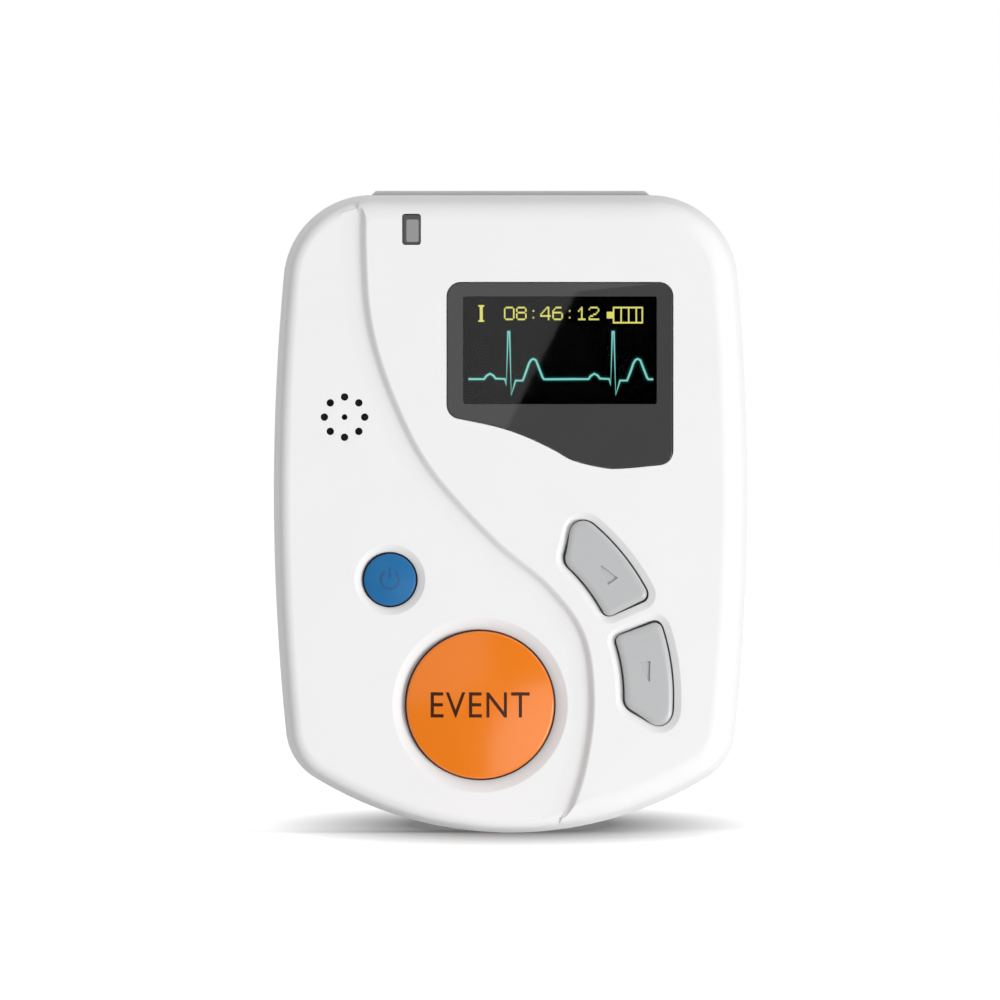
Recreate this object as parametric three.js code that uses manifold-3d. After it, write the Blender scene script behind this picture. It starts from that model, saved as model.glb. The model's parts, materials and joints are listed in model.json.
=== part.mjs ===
// A pocket recorder that a patient wears for a day while it stores the heart's trace.
// It stands upright with its front cover towards -Y, X to the right and its lead socket up (+Z).
// The origin is under the middle of its curved lower edge. All lengths are millimetres.
// Two moulded covers clamp one circuit board. The front cover's right-hand panel stands proud of the other,
// and an S-shaped step divides them. Depths are measured from the raised panel's face towards the back.
import * as THREE from "three";
import { mergeVertices } from "three/addons/utils/BufferGeometryUtils.js";
import Module from "manifold-3d";

const wasm = await Module();
wasm.setup();

// Case outline, seen from the front
const caseWidth = 70;
const caseHeight = 94.3;
const caseDepth = 25;
const sideArcRadius = 350;
const widestHeight = 50.4;
const topCornerRadius = 13;
const bottomArcRadius = 55.4;
const bottomCornerRadius = 8.85;

// Case walls and rims
const wall = 2;
const highPanelWall = 2.6;
const sideDraft = 0.7;
const draftDepth = 5.5;
const rimDepth = 3;
const highRimWidth = 3.3;
const lowRimWidth = 1.9;
const lipWall = 0.7;
const lipHeight = 1.2;
const clearance = 0.3;
const overrun = 2;

// The step between the panels: across it from left to right, and along it from the bottom to the top
const stepHeight = 1.2;
const stepReach = 5;
const stepEdge = 1;
const stepCoreGap = 1.5;
const stepAcrossShares = [-1, -0.7, -0.4, -0.2, -0.08, 0, 0.06, 0.12];
const stepRiseShares = [0, 0.02, 0.09, 0.23, 0.45, 0.7, 0.87, 0.96];
const stepLineShares = [
  [0.0728, -0.0571],
  [0.1171, 0.0243],
  [0.153, 0.1103],
  [0.1677, 0.2089],
  [0.1487, 0.3075],
  [0.077, 0.3826],
  [-0.0411, 0.4577],
  [-0.1762, 0.5704],
  [-0.2542, 0.6831],
  [-0.3006, 0.7958],
  [-0.3133, 0.9131],
  [-0.3112, 1.03],
];

// Circuit board
const boardThickness = 1.6;
const boardGap = 0.5;

// Display and its window
const displayWidth = 28.6;
const displayHeight = 15.9;
const displayMargin = 1.5;
const displayDriverStrip = 3;
const displayThickness = 1.5;
const carrierWall = 0.5;
const windowSideBorder = 2.45;
const windowTopBorder = 2.15;
const windowApron = 9.55;
const windowRightMargin = 10.95;
const windowTopMargin = 12.9;
const windowRadius = 2.15;
const windowThickness = 1;
const gasketThickness = 0.3;
const gasketEdge = 0.6;
const windowRecess = 1.4;
const windowFit = 0.15;
const flexWidth = 12;
const flexThickness = 0.3;
const flexDrop = 1.6;

// Buttons and their switches
const pressTravel = 0.5;
const buttonGap = 0.25;
const flangeGrowth = 1.2;
const flangeThickness = 0.7;
const eventRadius = 10.9;
const eventMoat = 1.9;
const eventMoatDepth = 0.9;
const eventCrown = 1;
const powerRadius = 3.85;
const powerMoat = 1.2;
const powerMoatDepth = 0.6;
const powerCrown = 0.5;
const capEdge = 0.35;
const keyProud = 0.6;
const keyRingInner = 26.3;
const keyRingOuter = 33.4;
const keyPointRadius = 2.1;
const keyCornerRadius = 1.1;
const keyMoat = 1.1;
const keyMoatDepth = 0.6;
const keyPillow = 0.9;
const keyRayDegrees = 22.95;
const keyGapDegrees = 3.25;
const keyInnerSpanDegrees = 22.6;
const keyOuterSpanDegrees = 30.4;
const switchSize = 6;
const switchHeight = 2;
const switchFloor = 0.4;
const plungerRadius = 1.75;
const plungerProud = 0.8;

// Sound holes and buzzer
const soundRingRadius = 2.98;
const soundHoleRadius = 0.55;
const soundCentreRadius = 0.43;
const soundHoleCount = 8;
const buzzerRadius = 5.5;
const buzzerHeight = 3.3;
const buzzerPortRadius = 1;

// Indicator light
const indicatorWidth = 2.75;
const indicatorHeight = 4.6;
const indicatorRadius = 0.45;
const indicatorWallGap = 0.15;
const indicatorFlange = 0.8;
const indicatorFlangeThickness = 0.6;
const ledWidth = 2;
const ledHeight = 3.2;
const ledThickness = 1;

// Lead socket on top
const socketWidth = 41.3;
const socketThickness = 10;
const socketProud = 0.7;
const socketTall = 12;
const socketBevel = 0.7;
const socketFlange = 1.5;
const wellWidth = 36;
const wellThickness = 7;
const wellDepth = 6.5;
const contactPitch = 2.77;
const contactRowGap = 2.84;
const contactRadius = 0.65;
const contactHoleDepth = 3;
const contactCount = 8;
const insulatorBase = 1;

// Batteries, their bay and door
const cellRadius = 5.25;
const cellLength = 44.5;
const nubRadius = 2.6;
const nubHeight = 1;
const cellGap = 0.5;
const cellSideGap = 0.85;
const springRoom = 5.7;
const bayBottom = 23;
const bayFloorGap = 0.2;
const bayWall = 1.2;
const bayRadius = 1.2;
const doorThickness = 1.6;
const doorRunGap = 0.2;
const tonguePlace = 15;
const tongueWidth = 6;
const tongueReach = 2.5;
const tongueThickness = 1;
const tongueRoot = 0.9;
const tongueSlotDepth = 4.8;
const latchWidth = 10;
const latchHeight = 1.6;
const latchThickness = 1.5;
const gripWidth = 12;
const gripPitch = 1.6;
const gripGroove = 0.8;
const gripGrooveDepth = 0.3;
const gripCount = 4;
const plateThickness = 0.4;
const plateWidth = 8;
const plateHeight = 8.5;
const contactSeat = 0.05;
const springWire = 0.35;
const springBaseRadius = 3.4;
const springTipRadius = 2;
const springTurnCount = 3;

// Case screws
const screwRadius = 1;
const screwHeadRadius = 1.9;
const screwHeadHeight = 1.6;
const screwRecess = 5;
const screwTipDepth = 4;
const screwEdge = 6.4;
const screwTipHeight = 0.8;
const screwDriveLength = 2.3;
const screwDriveWidth = 0.5;
const screwDriveDepth = 0.8;
const bossWall = 1.2;
const upperScrewDegrees = 20;
const lowerScrewDegrees = -60;

// Chips on the board's back
const chipThickness = 1.4;
const processorSize = 10;
const memoryWidth = 12;
const memoryHeight = 8;
const amplifierSize = 7;
const legWidth = 0.5;
const legLength = 1;
const legThickness = 0.3;
const legPitch = 1.2;
const chipRadius = 0.3;
const crystalWidth = 11;
const crystalHeight = 4.6;
const crystalThickness = 3.5;
const chipRowGap = 4;

// Places on the front, as shares of the case's width from its middle and of its height from its foot
const eventPlaceShares = [-0.0639, 0.2008];
const powerPlaceShares = [-0.2543, 0.3969];
const soundPlaceShares = [-0.3503, 0.6516];
const indicatorAcrossShare = -0.2087;
const keyRingPlaceShares = [-0.135, 0.2137];

// The window's lower edge: shares of its width from its left side, and of its height from its top
const windowEdgeShares = [
  [0.079, 0.74],
  [0.208, 0.773],
  [0.307, 0.81],
  [0.398, 0.856],
  [0.481, 0.906],
  [0.557, 0.957],
  [0.686, 0.995],
  [0.77, 1],
  [0.925, 0.983],
];
const windowLeftEndShare = 0.722;
const windowRightEndShare = 0.972;

// Facets
const cornerSteps = 8;
const lowerCornerSteps = 5;
const sideSteps = 8;
const bottomHalfSteps = 6;
const rimSteps = 5;
const stepLineSteps = 26;
const filletSteps = 4;
const windowEdgeSteps = 14;
const roundSides = 40;
const smallSides = 20;
const postSides = 14;
const boreSides = 10;
const holeSides = 8;
const springSteps = 8;
const wireSides = 5;
const contactSides = 6;
const keySideSteps = 6;
const mergeShare = 1e-4;

// Planes that several pieces share
const totalDepth = caseDepth + keyProud;
const frontFace = keyProud - totalDepth / 2;
const partingDepth = caseDepth / 2;
const lowPanelDepth = stepHeight;
const roofDepth = lowPanelDepth + wall;
const rearRoofDepth = caseDepth - wall;
const flangeDepth = roofDepth + clearance + flangeThickness;
const switchTopDepth = flangeDepth + plungerProud;
const boardDepth = switchTopDepth + switchHeight;
const boardBackDepth = boardDepth + boardThickness;
const screwSeatDepth = caseDepth - screwRecess;
const doorInnerDepth = caseDepth - doorThickness;
const cellDepth = doorInnerDepth - doorRunGap - cellRadius;
const bayFloorDepth = cellDepth - cellRadius - bayFloorGap;
const socketTop = caseHeight + socketProud;
const socketBottom = socketTop - socketTall;
const socketFlangeTop = caseHeight - wall - sideDraft - clearance;
const socketDepth = boardBackDepth + socketThickness / 2;
const degree = Math.PI / 180;

// The Y coordinate of a plane at this depth behind the raised panel's face.
function behind(depth) {
  return frontFace + depth;
}

// A place on the front from its shares of the case.
function placed([across, up]) {
  return { x: across * caseWidth, z: up * caseHeight };
}

// Points on an arc about a centre, both ends included unless skipped.
function arc(centre, radius, from, to, steps, skipEnds = 0) {
  const points = [];
  for (let i = skipEnds; i <= steps - skipEnds; i++) {
    const angle = from + ((to - from) * i) / steps;
    points.push([centre.x + radius * Math.cos(angle), centre.z + radius * Math.sin(angle)]);
  }
  return points;
}

// The centres of the right-hand arcs of the case, and the angles where they meet.
function caseArcs() {
  const side = { x: caseWidth / 2 - sideArcRadius, z: widestHeight };
  const bottom = { x: 0, z: bottomArcRadius };
  const topZ = caseHeight - topCornerRadius;
  const topReach = sideArcRadius - topCornerRadius;
  const top = { x: side.x + Math.sqrt(topReach ** 2 - (topZ - side.z) ** 2), z: topZ };
  const sideReach = sideArcRadius - bottomCornerRadius;
  const bottomReach = bottomArcRadius - bottomCornerRadius;
  const apart = Math.hypot(bottom.x - side.x, bottom.z - side.z);
  const along = (sideReach ** 2 - bottomReach ** 2 + apart ** 2) / (2 * apart);
  const off = Math.sqrt(sideReach ** 2 - along ** 2);
  const dx = (bottom.x - side.x) / apart;
  const dz = (bottom.z - side.z) / apart;
  const corner = { x: side.x + along * dx + off * dz, z: side.z + along * dz - off * dx };
  const cornerFoot = Math.atan2(corner.z - bottom.z, corner.x - bottom.x);
  const cornerTop = Math.atan2(corner.z - side.z, corner.x - side.x);
  const shoulder = Math.atan2(top.z - side.z, top.x - side.x);
  return { side, bottom, top, corner, cornerFoot, cornerTop, shoulder };
}

const arcs = caseArcs();

// The case's outline drawn in by an inset, anticlockwise from the front. Its lowest facet is level.
function caseOutline(inset) {
  const { side, bottom, top, corner, cornerFoot, cornerTop, shoulder } = arcs;
  const foot = -Math.PI / 2;
  const footStep = (cornerFoot - foot) / bottomHalfSteps;
  const footRadius = (bottomArcRadius - inset) / Math.cos(footStep / 2);
  const right = [
    ...arc(bottom, footRadius, foot + footStep / 2, cornerFoot - footStep / 2, bottomHalfSteps - 1),
    ...arc(corner, bottomCornerRadius - inset, cornerFoot, cornerTop, lowerCornerSteps),
    ...arc(side, sideArcRadius - inset, cornerTop, shoulder, sideSteps, 1),
    ...arc(top, topCornerRadius - inset, shoulder, Math.PI / 2, cornerSteps),
  ];
  const left = right.map(([x, z]) => [-x, z]).reverse();
  return [...right, ...left];
}

// Corner points with a radius each become an outline with rounded corners.
// Two fillets share the side between them by their radii, and neither takes more than its share.
function rounded(corners) {
  const points = [];
  corners.forEach(([x, z, radius], i) => {
    if (radius <= 0) {
      points.push([x, z]);
      return;
    }
    const [px, pz, previousRadius] = corners[(i + corners.length - 1) % corners.length];
    const [nx, nz, nextRadius] = corners[(i + 1) % corners.length];
    const back = new THREE.Vector2(px - x, pz - z);
    const ahead = new THREE.Vector2(nx - x, nz - z);
    const backRoom = (back.length() * radius) / (radius + previousRadius);
    const aheadRoom = (ahead.length() * radius) / (radius + nextRadius);
    back.normalize();
    ahead.normalize();
    const half = Math.acos(back.dot(ahead)) / 2;
    const reach = Math.min(radius / Math.tan(half), backRoom, aheadRoom);
    const corner = new THREE.Vector2(x, z);
    const middle = back.clone().add(ahead).normalize().multiplyScalar(reach / Math.cos(half)).add(corner);
    const start = back.clone().multiplyScalar(reach).add(corner).sub(middle);
    const turn = Math.sign(back.cross(ahead)) * (2 * half - Math.PI);
    for (let k = 0; k <= filletSteps; k++) {
      const arm = start.clone().rotateAround(new THREE.Vector2(), (turn * k) / filletSteps);
      points.push([middle.x + arm.x, middle.y + arm.y]);
    }
  });
  return points;
}

// A rectangle with rounded corners about a centre.
function roundedBox(centre, width, height, radius) {
  const [w, h] = [width / 2, height / 2];
  return rounded([
    [centre.x - w, centre.z - h, radius],
    [centre.x + w, centre.z - h, radius],
    [centre.x + w, centre.z + h, radius],
    [centre.x - w, centre.z + h, radius],
  ]);
}

// A closed geometry as a solid that can be joined and cut.
function solid(geometry) {
  const bare = new THREE.BufferGeometry();
  bare.setAttribute("position", geometry.getAttribute("position"));
  bare.setIndex(geometry.index);
  const merged = mergeVertices(bare, mergeShare);
  const corners = merged.index.array;
  const triangles = [];
  for (let i = 0; i < corners.length; i += 3) {
    const [a, b, c] = [corners[i], corners[i + 1], corners[i + 2]];
    if (a !== b && b !== c && c !== a) triangles.push(a, b, c);
  }
  const mesh = new wasm.Mesh({
    numProp: 3,
    vertProperties: merged.getAttribute("position").array,
    triVerts: new Uint32Array(triangles),
  });
  return new wasm.Manifold(mesh);
}

// Closed loops of points joined into one skin, with a cap on the first and the last loop.
// The contour is a loop's flat shape, anticlockwise when the skin advances away from the eye.
function skin(loops, contour) {
  const count = contour.length;
  const positions = loops.flat().flatMap((p) => [p.x, p.y, p.z]);
  const faces = THREE.ShapeUtils.triangulateShape(contour, []);
  const last = (loops.length - 1) * count;
  const triangles = faces.flatMap(([a, b, c]) => [a, b, c, last + a, last + c, last + b]);
  for (let ring = 0; ring < loops.length - 1; ring++) {
    for (let i = 0; i < count; i++) {
      const a = ring * count + i;
      const next = ring * count + ((i + 1) % count);
      triangles.push(a, a + count, next + count, a, next + count, next);
    }
  }
  const geometry = new THREE.BufferGeometry();
  geometry.setAttribute("position", new THREE.Float32BufferAttribute(positions, 3));
  geometry.setIndex(triangles);
  return solid(geometry);
}

// Outlines at rising depths, each [outline, depth], lofted into one solid.
function loft(levels) {
  const loops = levels.map(([outline, depth]) => {
    return outline.map(([x, z]) => new THREE.Vector3(x, behind(depth), z));
  });
  return skin(loops, levels[0][0].map(([x, z]) => new THREE.Vector2(x, z)));
}

// An outline extruded between two depths.
function prism(outline, from, to) {
  const shape = new THREE.Shape(outline.map(([x, z]) => new THREE.Vector2(x, z)));
  const geometry = new THREE.ExtrudeGeometry(shape, { depth: to - from, bevelEnabled: false });
  geometry.rotateX(Math.PI / 2).translate(0, behind(to), 0);
  return solid(geometry);
}

// A box between two depths, from its left, right, lower and upper planes.
function block(left, right, low, high, from, to) {
  const geometry = new THREE.BoxGeometry(right - left, to - from, high - low);
  geometry.translate((left + right) / 2, behind((from + to) / 2), (low + high) / 2);
  return solid(geometry);
}

// A profile of [radius, depth] points turned about a line through a place on the front.
function turned(profile, place, sides) {
  const points = profile.map(([radius, depth]) => new THREE.Vector2(radius, behind(depth)));
  return solid(new THREE.LatheGeometry(points, sides).translate(place.x, 0, place.z));
}

// A plain cylinder between two depths.
function rod(place, radius, from, to, sides) {
  return turned([[0, from], [radius, from], [radius, to], [0, to]], place, sides);
}

// The step's line between the panels, from below the case to above it.
const stepLine = new THREE.SplineCurve(
  stepLineShares.map(([across, up]) => new THREE.Vector2(across * caseWidth, up * caseHeight)),
);

// A point beside the step's line, so far to its right.
function besideStep(share, aside) {
  const point = stepLine.getPoint(share);
  const along = stepLine.getTangent(share);
  return new THREE.Vector2(point.x + along.y * aside, point.y - along.x * aside);
}

// Everything to the right of the step's line, with the step's hollow sweep and soft edge as its left face.
function raisedSide() {
  const above = -overrun;
  const contour = [new THREE.Vector2(-stepReach, -draftDepth)];
  stepAcrossShares.forEach((across, i) => {
    contour.push(new THREE.Vector2(across * stepReach, stepRiseShares[i] * stepHeight - lowPanelDepth));
  });
  contour.push(new THREE.Vector2(stepEdge, 0), new THREE.Vector2(stepEdge, -above));
  const loops = [];
  for (let i = 0; i <= stepLineSteps; i++) {
    const share = i / stepLineSteps;
    const level = stepLine.getPoint(share).y;
    const loop = contour.map((p) => {
      const beside = besideStep(share, p.x);
      return new THREE.Vector3(beside.x, behind(-p.y), beside.y);
    });
    loop.push(new THREE.Vector3(caseWidth, behind(above), level));
    loop.push(new THREE.Vector3(caseWidth, behind(draftDepth), level));
    loops.push(loop);
  }
  contour.push(new THREE.Vector2(caseWidth, -above), new THREE.Vector2(caseWidth, -draftDepth));
  contour.reverse();
  loops.forEach((loop) => loop.reverse());
  return skin(loops, contour);
}

// A cover's rounded rim, from its side wall in to its face, as [outline, depth] levels.
function rim(faceDepth, width) {
  const levels = [];
  for (let i = 0; i <= rimSteps; i++) {
    const angle = (Math.PI / 2) * (i / rimSteps);
    const inset = sideDraft + width * (1 - Math.cos(angle));
    levels.push([caseOutline(inset), rimDepth - (rimDepth - faceDepth) * Math.sin(angle)]);
  }
  return levels.reverse();
}

// A front body whose face lies at this depth.
function frontBody(faceDepth, rimWidth) {
  return loft([...rim(faceDepth, rimWidth), [caseOutline(0), draftDepth], [caseOutline(0), partingDepth]]);
}

// The bore and the outside of the screws' bosses and posts.
const boreRadius = screwRadius + clearance;
const bossRadius = boreRadius + bossWall;

// The places of the four case screws.
const screwPlaces = [
  { about: arcs.top, reach: topCornerRadius - screwEdge, angle: upperScrewDegrees * degree },
  { about: arcs.corner, reach: bottomCornerRadius - screwEdge, angle: lowerScrewDegrees * degree },
].flatMap(({ about, reach, angle }) => {
  const x = about.x + reach * Math.cos(angle);
  const z = about.z + reach * Math.sin(angle);
  return [{ x: -x, z }, { x, z }];
});

// Places of the front's features
const eventPlace = placed(eventPlaceShares);
const powerPlace = placed(powerPlaceShares);
const soundPlace = placed(soundPlaceShares);
const indicatorTop = caseHeight - wall - sideDraft - indicatorWallGap;
const indicatorPlace = { x: indicatorAcrossShare * caseWidth, z: indicatorTop - indicatorHeight / 2 };
const keyRingPlace = placed(keyRingPlaceShares);
const windowWidth = displayWidth + 2 * windowSideBorder;
const windowHeight = displayHeight + windowTopBorder + windowApron;
const windowRight = caseWidth / 2 - windowRightMargin;
const windowLeft = windowRight - windowWidth;
const windowTop = caseHeight - windowTopMargin;
const displayTop = windowTop - windowTopBorder;
const displayPlace = { x: (windowLeft + windowRight) / 2, z: displayTop - displayHeight / 2 };

// An arrow key's outline, a sector of a ring that ends in a slanted point, grown all round.
// Side 1 is the upper key and side -1 the lower one, its mirror image across the ray between them.
function keyOutline(side, growth) {
  const inner = keyRingInner - growth;
  const outer = keyRingOuter + growth;
  const middle = (keyRingInner + keyRingOuter) / 2;
  const root = keyGapDegrees * degree * middle - growth;
  const innerEnd = (keyGapDegrees + keyInnerSpanDegrees) * degree * middle + growth;
  const outerEnd = (keyGapDegrees + keyOuterSpanDegrees) * degree * middle + growth;
  const flat = rounded([
    [root, inner, keyCornerRadius + growth],
    [root, outer, keyCornerRadius + growth],
    [outerEnd, outer, keyPointRadius + growth],
    [innerEnd, inner, keyPointRadius + growth],
  ]);
  const spaced = flat.flatMap(([s, r], i) => {
    const [ns, nr] = flat[(i + 1) % flat.length];
    const steps = Math.abs(ns - s) > keyCornerRadius + keyPointRadius ? keySideSteps : 1;
    return Array.from({ length: steps }, (_, k) => {
      return [s + ((ns - s) * k) / steps, r + ((nr - r) * k) / steps];
    });
  });
  const points = spaced.map(([s, r]) => {
    const angle = keyRayDegrees * degree + (side * s) / middle;
    return [keyRingPlace.x + r * Math.cos(angle), keyRingPlace.z + r * Math.sin(angle)];
  });
  return side > 0 ? points : points.reverse();
}

// The middle of an arrow key, where its switch sits.
function keyPlace(side) {
  const span = keyGapDegrees + (keyInnerSpanDegrees + keyOuterSpanDegrees) / 4;
  const angle = (keyRayDegrees + side * span) * degree;
  const middle = (keyRingInner + keyRingOuter) / 2;
  return { x: keyRingPlace.x + middle * Math.cos(angle), z: keyRingPlace.z + middle * Math.sin(angle) };
}

// The opening behind the window that the display is seen through.
function displayView() {
  const radius = displayMargin / 2;
  return roundedBox(displayPlace, displayWidth + displayMargin, displayHeight + displayMargin, radius);
}

// The window's outline with its S-shaped lower edge, drawn in by an inset.
function windowOutline(inset) {
  const edge = new THREE.SplineCurve(
    windowEdgeShares.map(([across, down]) => {
      return new THREE.Vector2(windowLeft + across * windowWidth, windowTop - down * windowHeight + inset);
    }),
  ).getPoints(windowEdgeSteps);
  const radius = windowRadius - inset;
  const [left, right, top] = [windowLeft + inset, windowRight - inset, windowTop - inset];
  return rounded([
    ...edge.map((p) => [p.x, p.y, 0]),
    [right, windowTop - windowRightEndShare * windowHeight + inset, radius],
    [right, top, radius],
    [left, top, radius],
    [left, windowTop - windowLeftEndShare * windowHeight + inset, radius],
  ]);
}

// A dished moat and the hole in it for a round button.
function roundMoat(place, radius, moat, depth, sides) {
  const hole = radius + buttonGap;
  const bottom = lowPanelDepth + depth;
  const profile = [[0, -overrun], [hole + moat, -overrun], [hole + moat, lowPanelDepth]];
  for (let i = 1; i < filletSteps; i++) {
    const angle = (Math.PI / 2) * (i / filletSteps);
    const reach = moat * (1 - Math.sin(angle));
    profile.push([hole + reach, bottom - depth * Math.cos(angle)]);
  }
  profile.push([hole, bottom], [hole, roofDepth + overrun], [0, roofDepth + overrun]);
  return turned(profile, place, sides);
}

// A dished moat and the hole in it for an arrow key.
function keyMoatCut(side) {
  const levels = [[keyOutline(side, buttonGap + keyMoat), -overrun]];
  for (let i = 0; i <= filletSteps; i++) {
    const angle = (Math.PI / 2) * (i / filletSteps);
    const growth = buttonGap + keyMoat * (1 - Math.sin(angle));
    levels.push([keyOutline(side, growth), keyMoatDepth * (1 - Math.cos(angle))]);
  }
  levels.push([keyOutline(side, buttonGap), roofDepth + overrun]);
  return loft(levels);
}

// The front cover: rims, step, moats, recesses and holes outside; bosses and a rebate for the lip inside.
function frontCover() {
  const raised = frontBody(0, highRimWidth).intersect(raisedSide());
  let cover = frontBody(lowPanelDepth, lowRimWidth).add(raised);
  const cavity = loft([
    [caseOutline(wall + sideDraft), roofDepth],
    [caseOutline(wall), draftDepth],
    [caseOutline(wall), partingDepth + overrun],
  ]);
  const core = loft([
    [caseOutline(wall + highRimWidth), highPanelWall],
    [caseOutline(wall + highRimWidth), roofDepth + clearance],
  ]);
  const coreSide = [];
  for (let i = 0; i <= stepLineSteps; i++) {
    const p = besideStep(i / stepLineSteps, stepEdge + stepCoreGap);
    coreSide.push([p.x, p.y]);
  }
  coreSide.push([caseWidth, coreSide[stepLineSteps][1]], [caseWidth, coreSide[0][1]]);
  const coreArea = prism(coreSide.reverse(), 0, draftDepth);
  cover = cover.subtract(cavity).subtract(core.intersect(coreArea));
  for (const side of [-1, 1]) {
    const room = keyOutline(side, flangeGrowth + clearance);
    cover = cover.subtract(prism(room, highPanelWall, flangeDepth + pressTravel + clearance));
  }
  const rebate = caseOutline(wall - lipWall - clearance);
  cover = cover.subtract(prism(rebate, partingDepth - lipHeight - clearance, partingDepth + overrun));
  for (const place of screwPlaces) {
    cover = cover.add(rod(place, bossRadius, roofDepth - clearance, boardDepth, postSides));
    const boreEnd = screwTipDepth - clearance;
    cover = cover.subtract(rod(place, boreRadius, boreEnd, boardDepth + overrun, boreSides));
  }
  cover = cover.subtract(roundMoat(eventPlace, eventRadius, eventMoat, eventMoatDepth, roundSides));
  cover = cover.subtract(roundMoat(powerPlace, powerRadius, powerMoat, powerMoatDepth, smallSides));
  cover = cover.subtract(keyMoatCut(1)).subtract(keyMoatCut(-1));
  cover = cover.subtract(prism(windowOutline(0), -overrun, windowRecess));
  cover = cover.subtract(prism(displayView(), 0, roofDepth + overrun));
  const slot = roundedBox(indicatorPlace, indicatorWidth, indicatorHeight, indicatorRadius);
  cover = cover.subtract(prism(slot, -overrun, roofDepth + overrun));
  for (let i = 0; i < soundHoleCount; i++) {
    const angle = (i * 2 * Math.PI) / soundHoleCount;
    const x = soundPlace.x + soundRingRadius * Math.cos(angle);
    const z = soundPlace.z + soundRingRadius * Math.sin(angle);
    cover = cover.subtract(rod({ x, z }, soundHoleRadius, 0, roofDepth + overrun, holeSides));
  }
  cover = cover.subtract(rod(soundPlace, soundCentreRadius, 0, roofDepth + overrun, holeSides));
  return cover.subtract(socketGap());
}

// The gap that both covers leave for the lead socket and its flange.
function socketGap() {
  const half = socketWidth / 2 + clearance;
  const flangeHalf = half + socketFlange;
  const [flangeLow, flangeHigh] = [socketFlangeTop - socketFlange - clearance, socketFlangeTop + clearance];
  const from = boardBackDepth - clearance;
  const to = boardBackDepth + socketThickness + clearance;
  const flangeRoom = block(-flangeHalf, flangeHalf, flangeLow, flangeHigh, from, to);
  return block(-half, half, socketBottom, socketTop + overrun, from, to).add(flangeRoom);
}

// The battery bay, which two cells, their springs and their contact plates fill.
const bayWidth = cellLength + springRoom + 2 * plateThickness;
const bayHeight = 4 * cellRadius + cellGap + 2 * cellSideGap;
const bayTop = bayBottom + bayHeight;
const bayPlace = { x: 0, z: (bayBottom + bayTop) / 2 };
const doorFoot = bayBottom + clearance;
const doorHead = bayTop - clearance;

// The rear cover: rounded back, battery bay with slots for the door's tongues, screw posts and a lip.
function rearCover() {
  const mirrored = rim(0, highRimWidth).map(([outline, depth]) => [outline, caseDepth - depth]);
  let cover = loft([
    [caseOutline(0), partingDepth],
    [caseOutline(0), caseDepth - draftDepth],
    ...mirrored.reverse(),
  ]);
  cover = cover.subtract(
    loft([
      [caseOutline(wall), partingDepth - overrun],
      [caseOutline(wall), caseDepth - draftDepth],
      [caseOutline(wall + sideDraft), rearRoofDepth],
    ]),
  );
  const lip = prism(caseOutline(wall - lipWall), partingDepth - lipHeight, partingDepth + lipHeight);
  cover = cover.add(lip.subtract(prism(caseOutline(wall), partingDepth - overrun, partingDepth + overrun)));
  const bay = roundedBox(bayPlace, bayWidth + 2 * bayWall, bayHeight + 2 * bayWall, bayRadius + bayWall);
  cover = cover.add(prism(bay, bayFloorDepth - bayWall, rearRoofDepth + clearance));
  for (const place of screwPlaces) {
    cover = cover.add(rod(place, bossRadius, boardBackDepth, rearRoofDepth + clearance, postSides));
  }
  const bayHollow = roundedBox(bayPlace, bayWidth, bayHeight, bayRadius);
  cover = cover.subtract(prism(bayHollow, bayFloorDepth, caseDepth + overrun));
  for (const side of [-1, 1]) {
    const left = side * tonguePlace - tongueWidth / 2 - clearance;
    const right = side * tonguePlace + tongueWidth / 2 + clearance;
    const low = bayBottom - bayWall - clearance;
    const front = caseDepth - tongueSlotDepth;
    cover = cover.subtract(block(left, right, low, bayBottom + clearance, front, rearRoofDepth));
  }
  for (const place of screwPlaces) {
    cover = cover.subtract(rod(place, boreRadius, boardDepth, caseDepth, boreSides));
    const headRadius = screwHeadRadius + clearance;
    cover = cover.subtract(rod(place, headRadius, screwSeatDepth, caseDepth + overrun, postSides));
  }
  return cover.subtract(socketGap());
}

// The battery door: flush plate with grip grooves, two tongues under the case and a latch finger.
function batteryDoor() {
  const plate = roundedBox(bayPlace, bayWidth - 2 * clearance, bayHeight - 2 * clearance, bayRadius);
  let door = prism(plate, doorInnerDepth, caseDepth);
  const tongueBack = rearRoofDepth - clearance;
  for (const side of [-1, 1]) {
    const left = side * tonguePlace - tongueWidth / 2;
    const right = side * tonguePlace + tongueWidth / 2;
    const front = tongueBack - tongueThickness;
    const root = doorFoot + tongueRoot;
    door = door.add(block(left, right, doorFoot - tongueReach, root, front, tongueBack));
    door = door.add(block(left, right, doorFoot + clearance, root, front, caseDepth - gripGrooveDepth));
  }
  const latch = latchWidth / 2;
  const latchFront = doorInnerDepth - latchThickness;
  const latchBack = doorInnerDepth + gripGrooveDepth;
  door = door.add(block(-latch, latch, doorHead - latchHeight, doorHead, latchFront, latchBack));
  const grip = gripWidth / 2;
  for (let i = 1; i <= gripCount; i++) {
    const high = doorHead - i * gripPitch;
    door = door.subtract(
      block(-grip, grip, high - gripGroove, high, caseDepth - gripGrooveDepth, caseDepth + overrun),
    );
  }
  return door;
}

// A round button: a domed cap with a soft edge, and the flange that keeps it behind the wall.
function roundButton(place, radius, crown, sides) {
  const edge = lowPanelDepth - crown / 3;
  const top = lowPanelDepth - crown;
  const profile = [];
  for (let i = 0; i <= filletSteps; i++) {
    const share = i / filletSteps;
    profile.push([(radius - capEdge) * share, top + (edge - top) * share ** 2]);
  }
  const flangeFront = roofDepth + clearance;
  const flangeRadius = radius + flangeGrowth;
  profile.push([radius - capEdge / 3, edge + capEdge / 3], [radius, edge + capEdge], [radius, flangeFront]);
  profile.push([flangeRadius, flangeFront], [flangeRadius, flangeDepth], [0, flangeDepth]);
  return turned(profile, place, sides);
}

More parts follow.
